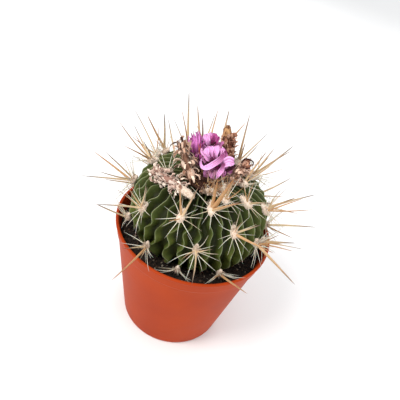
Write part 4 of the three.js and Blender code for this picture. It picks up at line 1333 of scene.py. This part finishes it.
def add_tatters(shape, place, size, look, rng):
    """Limp dry petals at the flower's end."""
    root, level, other, axis = place
    length, half = size
    for _ in range(look["tatters"]):
        turn = rng.uniform(0, 2 * np.pi)
        add_petal(shape, (root + axis * 0.62 * length, level, other, axis), turn, {
            "lean": rng.uniform(0, 22), "bend": rng.normal(0, 30), "late": 1.6,
            "length": rng.uniform(0.25, 0.4) * length, "low": 0.0,
            "near": half * rng.uniform(0.1, 0.6), "half": rng.uniform(0.5, 1.2), "blunt": 1.4,
            "frill": 0.6, "crumple": 0.16, "cup": 0.6, "twist": rng.normal(0, 60),
            "shade": float(rng.uniform(0.1, 1) ** look["paleness"])}, 0, rng)


def add_bud(shape, place, spot, thick, tone, finish, rng):
    """A closed bud or seed pod, wrapped in small pointed scales."""
    _, level, other, axis = place
    axes = np.array([level, other, axis * 1.35]) * thick
    shape.add(lump(spot, axes, rng, 0.12, 16, 13, 1.8), finish, along=0.6, shade=tone)
    for k in range(16):
        foot = spot - axis * thick * rng.uniform(0.1, 1.3)
        add_petal(shape, (foot, level, other, axis), 2 * np.pi * k * 0.38, {
            "lean": 24, "bend": -66, "length": 1.85 * thick, "low": 0.0,
            "near": 0.86 * thick, "half": 0.34 * thick, "blunt": 1.5, "frill": 0.3,
            "crumple": 0.1, "cup": 0.3, "twist": rng.normal(0, 14),
            "shade": float(rng.uniform(0, 1) * 0.7 + tone * 0.3)}, finish, rng)


def add_wool_ball(shape, place, spot, thick, rng):
    """A ball of cream wool with standing fibres, in the second finish."""
    _, level, other, axis = place
    axes = np.array([level, other, axis * 1.3]) * thick
    shape.add(lump(spot, axes, rng, 0.18, 14, 10, 2.2), 1)
    for _ in range(120):
        way = unit(rng.normal(0, 1, 3))
        add_fibre(shape, spot + way * thick * 0.9, way, 1.7, rng, 0.1, 1)


def build_dried(name, look):
    """A withered flower: a slim core under curled papery scales, with what else it bears."""
    item = DRIED_FLOWERS[name]
    place = frame_at(item)
    root, level, other, axis = place
    size = length, half = item["length"], item["half"]
    rng = np.random.default_rng(int(name[-1]) * 29)
    shape = Shape()
    core = np.array([level * half * 0.5, other * half * 0.5, axis * length * 0.44])
    shape.add(lump(root + axis * length * 0.45, core, rng, 0.3, 14, 15, 2.5), along=0.6,
              shade=0.8)
    add_dry_scales(shape, place, size, look, rng)
    add_tatters(shape, place, size, look, rng)
    for tall, aside, thick, tone in look.get("buds", []):
        spot = root + axis * tall * length + SIGHT[0] * aside
        add_bud(shape, place, spot, thick, tone, look.get("bud_finish", 0), rng)
    if "mouth" in look:
        add_mouth(shape, root + axis * 0.74 * length, look["mouth"], rng)
    for tall, thick in look.get("wool", []):
        add_wool_ball(shape, place, root + axis * tall * length, thick, rng)
    shape.piece(f"{name}_tatters", look["finishes"], "withered", [name])


def build_dried_flowers():
    """One lies on the left, woolly at its foot; one leans over it; one opens; one stands."""
    wool = wool_finish()
    pink = withered_finish("bleached petals", shade(254, 238, 222), shade(214, 172, 154),
                           shade(96, 54, 46), 0.65)
    brown = withered_finish("brown petals", shade(244, 218, 196), shade(184, 136, 110),
                            shade(58, 34, 26), 0.5)
    rusty = withered_finish("rusty petals", shade(236, 190, 162), shade(176, 116, 92),
                            shade(62, 28, 20), 0.35)
    rosy = withered_finish("rosy petals", shade(240, 208, 186), shade(192, 148, 126),
                           shade(84, 46, 34), 0.5)
    golden = withered_finish("golden petals", shade(200, 158, 112), shade(156, 106, 76),
                             shade(60, 34, 26), 0.5)
    build_dried("dried_flower_1", {
        "finishes": [pink, wool], "scales": 140, "long": 5.6, "broad": 0.8, "paleness": 1.8,
        "from": 0.18, "tatters": 4, "trim": 0.3,
        "wool": [(0.0, 2.0), (0.09, 2.4), (0.18, 2.6), (0.27, 2.4), (0.36, 1.8)]})
    build_dried("dried_flower_2", {
        "finishes": [brown], "scales": 100, "long": 6.6, "broad": 0.75, "paleness": 1.4,
        "from": 0.05, "tatters": 10, "darker": 0.6, "buds": [(0.22, 1.0, 2.6, 0.3)]})
    build_dried("dried_flower_3", {
        "finishes": [rosy, rusty], "scales": 110, "long": 5.8, "broad": 0.85, "paleness": 1.3,
        "from": 0.02, "to": 0.56, "tatters": 0, "mouth": 3.5})
    build_dried("dried_flower_4", {
        "finishes": [rusty, golden], "scales": 120, "long": 3.8, "broad": 1.1, "paleness": 1.5,
        "from": 0.02, "to": 0.74, "girth": 0.85, "lean": (5, 36), "curl": (10, 90),
        "tatters": 0, "bud_finish": 1, "buds": [(0.82, -1.2, 2.7, 0.15), (0.95, -0.8, 1.5, 0.9)]})


# ------------------------------------------------------------------------ pot and soil

def wall_radius(height):
    """Radius of the pot's outer wall below its collar."""
    return BASE_RADIUS + (SHOULDER_RADIUS - BASE_RADIUS) * height / (POT_HEIGHT - COLLAR_DROP)


def turned(profile, sides):
    """A body of revolution from a profile that starts and ends on the axis."""
    profile = np.asarray(profile, float)
    turns = 2 * np.pi * np.arange(sides) / sides
    inner = profile[1:-1]
    rings = np.stack([np.outer(inner[:, 0], np.cos(turns)), np.outer(inner[:, 0], np.sin(turns)),
                      np.repeat(inner[:, 1:], sides, axis=1)], -1)
    corners = np.vstack([rings.reshape(-1, 3), [0, 0, profile[0, 1]], [0, 0, profile[-1, 1]]])
    faces = [face[::-1] for face in net(len(inner), sides)]
    first, last = len(corners) - 2, len(corners) - 1
    top = (len(inner) - 1) * sides
    faces += [(first, (k + 1) % sides, k) for k in range(sides)]
    faces += [(last, top + k, top + (k + 1) % sides) for k in range(sides)]
    return corners, faces, {}


def rounded(points, radius):
    """Rounds every inner corner of a profile."""
    steps = 4
    points = [np.array(point, float) for point in points]
    result = [points[0]]
    for before, corner, after in zip(points, points[1:], points[2:]):
        room = 0.45 * min(np.linalg.norm(before - corner), np.linalg.norm(after - corner))
        cut = min(radius, room)
        first = corner + unit(before - corner) * cut
        last = corner + unit(after - corner) * cut
        for share in np.linspace(0, 1, steps):
            result.append((1 - share) ** 2 * first + 2 * share * (1 - share) * corner
                          + share ** 2 * last)
    result.append(points[-1])
    return result


def pot_profile():
    """The pot's outside up to the rim and its inside down again; long runs get more rings."""
    corner_radius, least_gap = 0.7, 6
    collar = POT_HEIGHT - COLLAR_DROP
    profile = [
        (0, 0), (BASE_RADIUS - 0.6, 0), (BASE_RADIUS + 0.2, 1.2),
        (SHOULDER_RADIUS, collar - 0.6), (COLLAR_RADIUS - 0.3, collar + 0.4),
        (COLLAR_RADIUS + 0.6, POT_HEIGHT - 2.2), (RIM_RADIUS - 0.2, POT_HEIGHT - 1.7),
        (RIM_RADIUS, POT_HEIGHT), (COLLAR_RADIUS - 0.4, POT_HEIGHT),
        (COLLAR_RADIUS - 1, POT_HEIGHT - 2), (wall_radius(collar) - WALL, collar),
        (wall_radius(FLOOR + 1.5) - WALL, FLOOR + 1.5), (wall_radius(FLOOR) - WALL - 2, FLOOR),
        (0, FLOOR),
    ]
    fine = [profile[0]]
    for point in rounded(profile, corner_radius)[1:]:
        gap = np.subtract(point, fine[-1])
        steps = max(1, int(np.linalg.norm(gap) / least_gap))
        fine += [np.asarray(fine[-1]) + gap * k / steps for k in range(1, steps + 1)]
    return fine


def drain_plugs():
    """Plugs that cut the drain holes through the pot's floor."""
    past, sides = 3, 24
    plugs = Shape()
    for k in range(DRAIN_COUNT):
        turn = 2 * math.pi * k / DRAIN_COUNT
        plug, faces, _ = turned([(0, -past), (DRAIN_RADIUS, -past), (DRAIN_RADIUS, FLOOR + past),
                                 (0, FLOOR + past)], sides)
        centre = [DRAIN_RING * math.cos(turn), DRAIN_RING * math.sin(turn), 0]
        plugs.add((plug + centre, faces, {}))
    return plugs


def build_pot():
    """A thin-walled tapered pot with a stepped collar; its drain holes are cut last."""
    shape = Shape()
    sides = 144
    shape.add(turned(pot_profile(), sides))
    pot = shape.piece("nursery_pot", [pot_finish()], "pot", ["pot"])
    cutter = drain_plugs()
    mesh = bpy.data.meshes.new("drain cutter")
    mesh.from_pydata(np.concatenate(cutter.corners) * MM, [], cutter.faces)
    tool = bpy.data.objects.new("drain cutter", mesh)
    bpy.context.scene.collection.objects.link(tool)
    cut = pot.modifiers.new("drains", "BOOLEAN")
    cut.operation = "DIFFERENCE"
    cut.object = tool
    cut.solver = "EXACT"
    holed = bpy.data.meshes.new_from_object(
        pot.evaluated_get(bpy.context.evaluated_depsgraph_get()))
    pot.modifiers.clear()
    pot.data = holed
    bpy.data.objects.remove(tool)


def soil_height(x, y):
    """How far the soil's top rises or sinks at a place."""
    where = Vector((x, y, 0))
    return (1.1 * noise.fractal(where * 0.11, 1.0, 2.0, 3)
            + 0.5 * noise.fractal(where * 0.5, 0.8, 2.0, 4))


def build_soil():
    """Crumbly soil that fills the pot and closes round the stem."""
    inside = wall_radius(SOIL_TOP) - WALL - 0.3
    brim = float(outline_at(SOIL_ARC)[0]) - 3.5
    low = [(0, FLOOR + 0.4), (wall_radius(FLOOR) - WALL - 2.6, FLOOR + 0.4),
           (wall_radius(FLOOR + 2) - WALL - 0.4, FLOOR + 2), (inside, SOIL_TOP - 1.2)]
    rings = 26
    across = [(inside + (brim - inside) * k / (rings - 1), SOIL_TOP) for k in range(rings)]
    sides = 220
    body, faces, _ = turned(low + across + [(brim - 3, SOIL_TOP - 8), (0, SOIL_TOP - 11)], sides)
    top = slice((len(low) - 1) * sides, (len(low) - 1 + rings) * sides)
    for index in range(top.start, top.stop):
        share = (index - top.start) // sides / (rings - 1)
        body[index, :2] += STEM_CENTRE * share
        edge = min(share * 6, 1)
        body[index, 2] += soil_height(*body[index, :2]) * edge + 1.0 * share
    body[top.stop:-2, :2] += STEM_CENTRE
    shape = Shape()
    shape.add((body, faces, {}))
    add_crumbs(shape, inside, brim)
    shape.piece("potting_soil", [soil_finish(), crumb_finish()], "soil", ["soil"])


def add_crumbs(shape, inside, brim):
    """Loose crumbs that lie on the soil between the pot's wall and the stem."""
    rng = np.random.default_rng(41)
    count = 1500
    for _ in range(count):
        turn = rng.uniform(0, 2 * np.pi)
        share = rng.uniform(0, 1)
        ring = inside - 0.9 + (brim + 2 - inside) * share
        x, y = ring * math.cos(turn), ring * math.sin(turn)
        x, y = x + STEM_CENTRE[0] * share, y + STEM_CENTRE[1] * share
        half = 0.35 + 0.9 * rng.uniform(0, 1) ** 3
        lying = half * rng.uniform(0.5, 0.9)
        centre = [x, y, SOIL_TOP + soil_height(x, y) + share + 0.25 * lying]
        turned_axes = np.array([[math.cos(turn), math.sin(turn), 0],
                                [-math.sin(turn), math.cos(turn), 0], [0, 0, 1]])
        axes = turned_axes * np.array([[half], [half * rng.uniform(0.55, 1)], [lying]])
        shape.add(lump(centre, axes, rng, 0.3, 6, 5, 1.3), 1, shade=float(rng.uniform(0, 1)))


# ------------------------------------------------------------------------ stage and light

def build_stage():
    """A plain pale floor."""
    finish = Finish("pale floor", {"Roughness": 0.9})
    finish.colour(finish.ramp(finish.noise(3, 2), [(0.4, (0.86, 0.86, 0.86)),
                                                   (0.6, (0.88, 0.88, 0.88))]))
    mesh = bpy.data.meshes.new("floor")
    half = 4.0
    mesh.from_pydata([(-half, -half, 0), (half, -half, 0), (half, half, 0), (-half, half, 0)],
                     [], [(0, 1, 2, 3)])
    mesh.materials.append(finish.material)
    floor = bpy.data.objects.new("floor", mesh)
    bpy.context.scene.collection.objects.link(floor)


def add_light(name, place, aim, size, power, colour=(1, 1, 1)):
    """A soft round light that shines from a place towards an aim."""
    data = bpy.data.lights.new(name, "AREA")
    data.shape = "DISK"
    data.size = size
    data.energy = power
    data.color = colour
    light = bpy.data.objects.new(name, data)
    place, aim = Vector(place), Vector(aim)
    light.matrix_world = Matrix.Translation(place) @ (place - aim).to_track_quat(
        "Z", "Y").to_matrix().to_4x4()
    bpy.context.scene.collection.objects.link(light)


def build_lights():
    """A white room with a soft key light, a fill and a light from behind."""
    world = bpy.data.worlds.new("studio")
    bpy.context.scene.world = world
    world.use_nodes = True
    world.node_tree.nodes["Background"].inputs[0].default_value = (0.98, 0.99, 1.0, 1)
    world.node_tree.nodes["Background"].inputs[1].default_value = 0.95
    middle = (0, 0, 0.1)
    add_light("key", (-0.45, -0.35, 0.9), middle, 0.4, 6.5, (1.0, 0.98, 0.95))
    add_light("fill", (0.7, -0.5, 0.5), middle, 0.8, 1.2)
    add_light("back", (0.2, 0.8, 0.6), middle, 0.6, 1.8)
    bpy.context.scene.view_settings.view_transform = "Standard"


build_stage()
build_lights()
build_pot()
build_soil()
build_stem()
build_crown_wool()
build_clusters()
build_flowers()
build_dried_flowers()

bpy.context.view_layer.update()
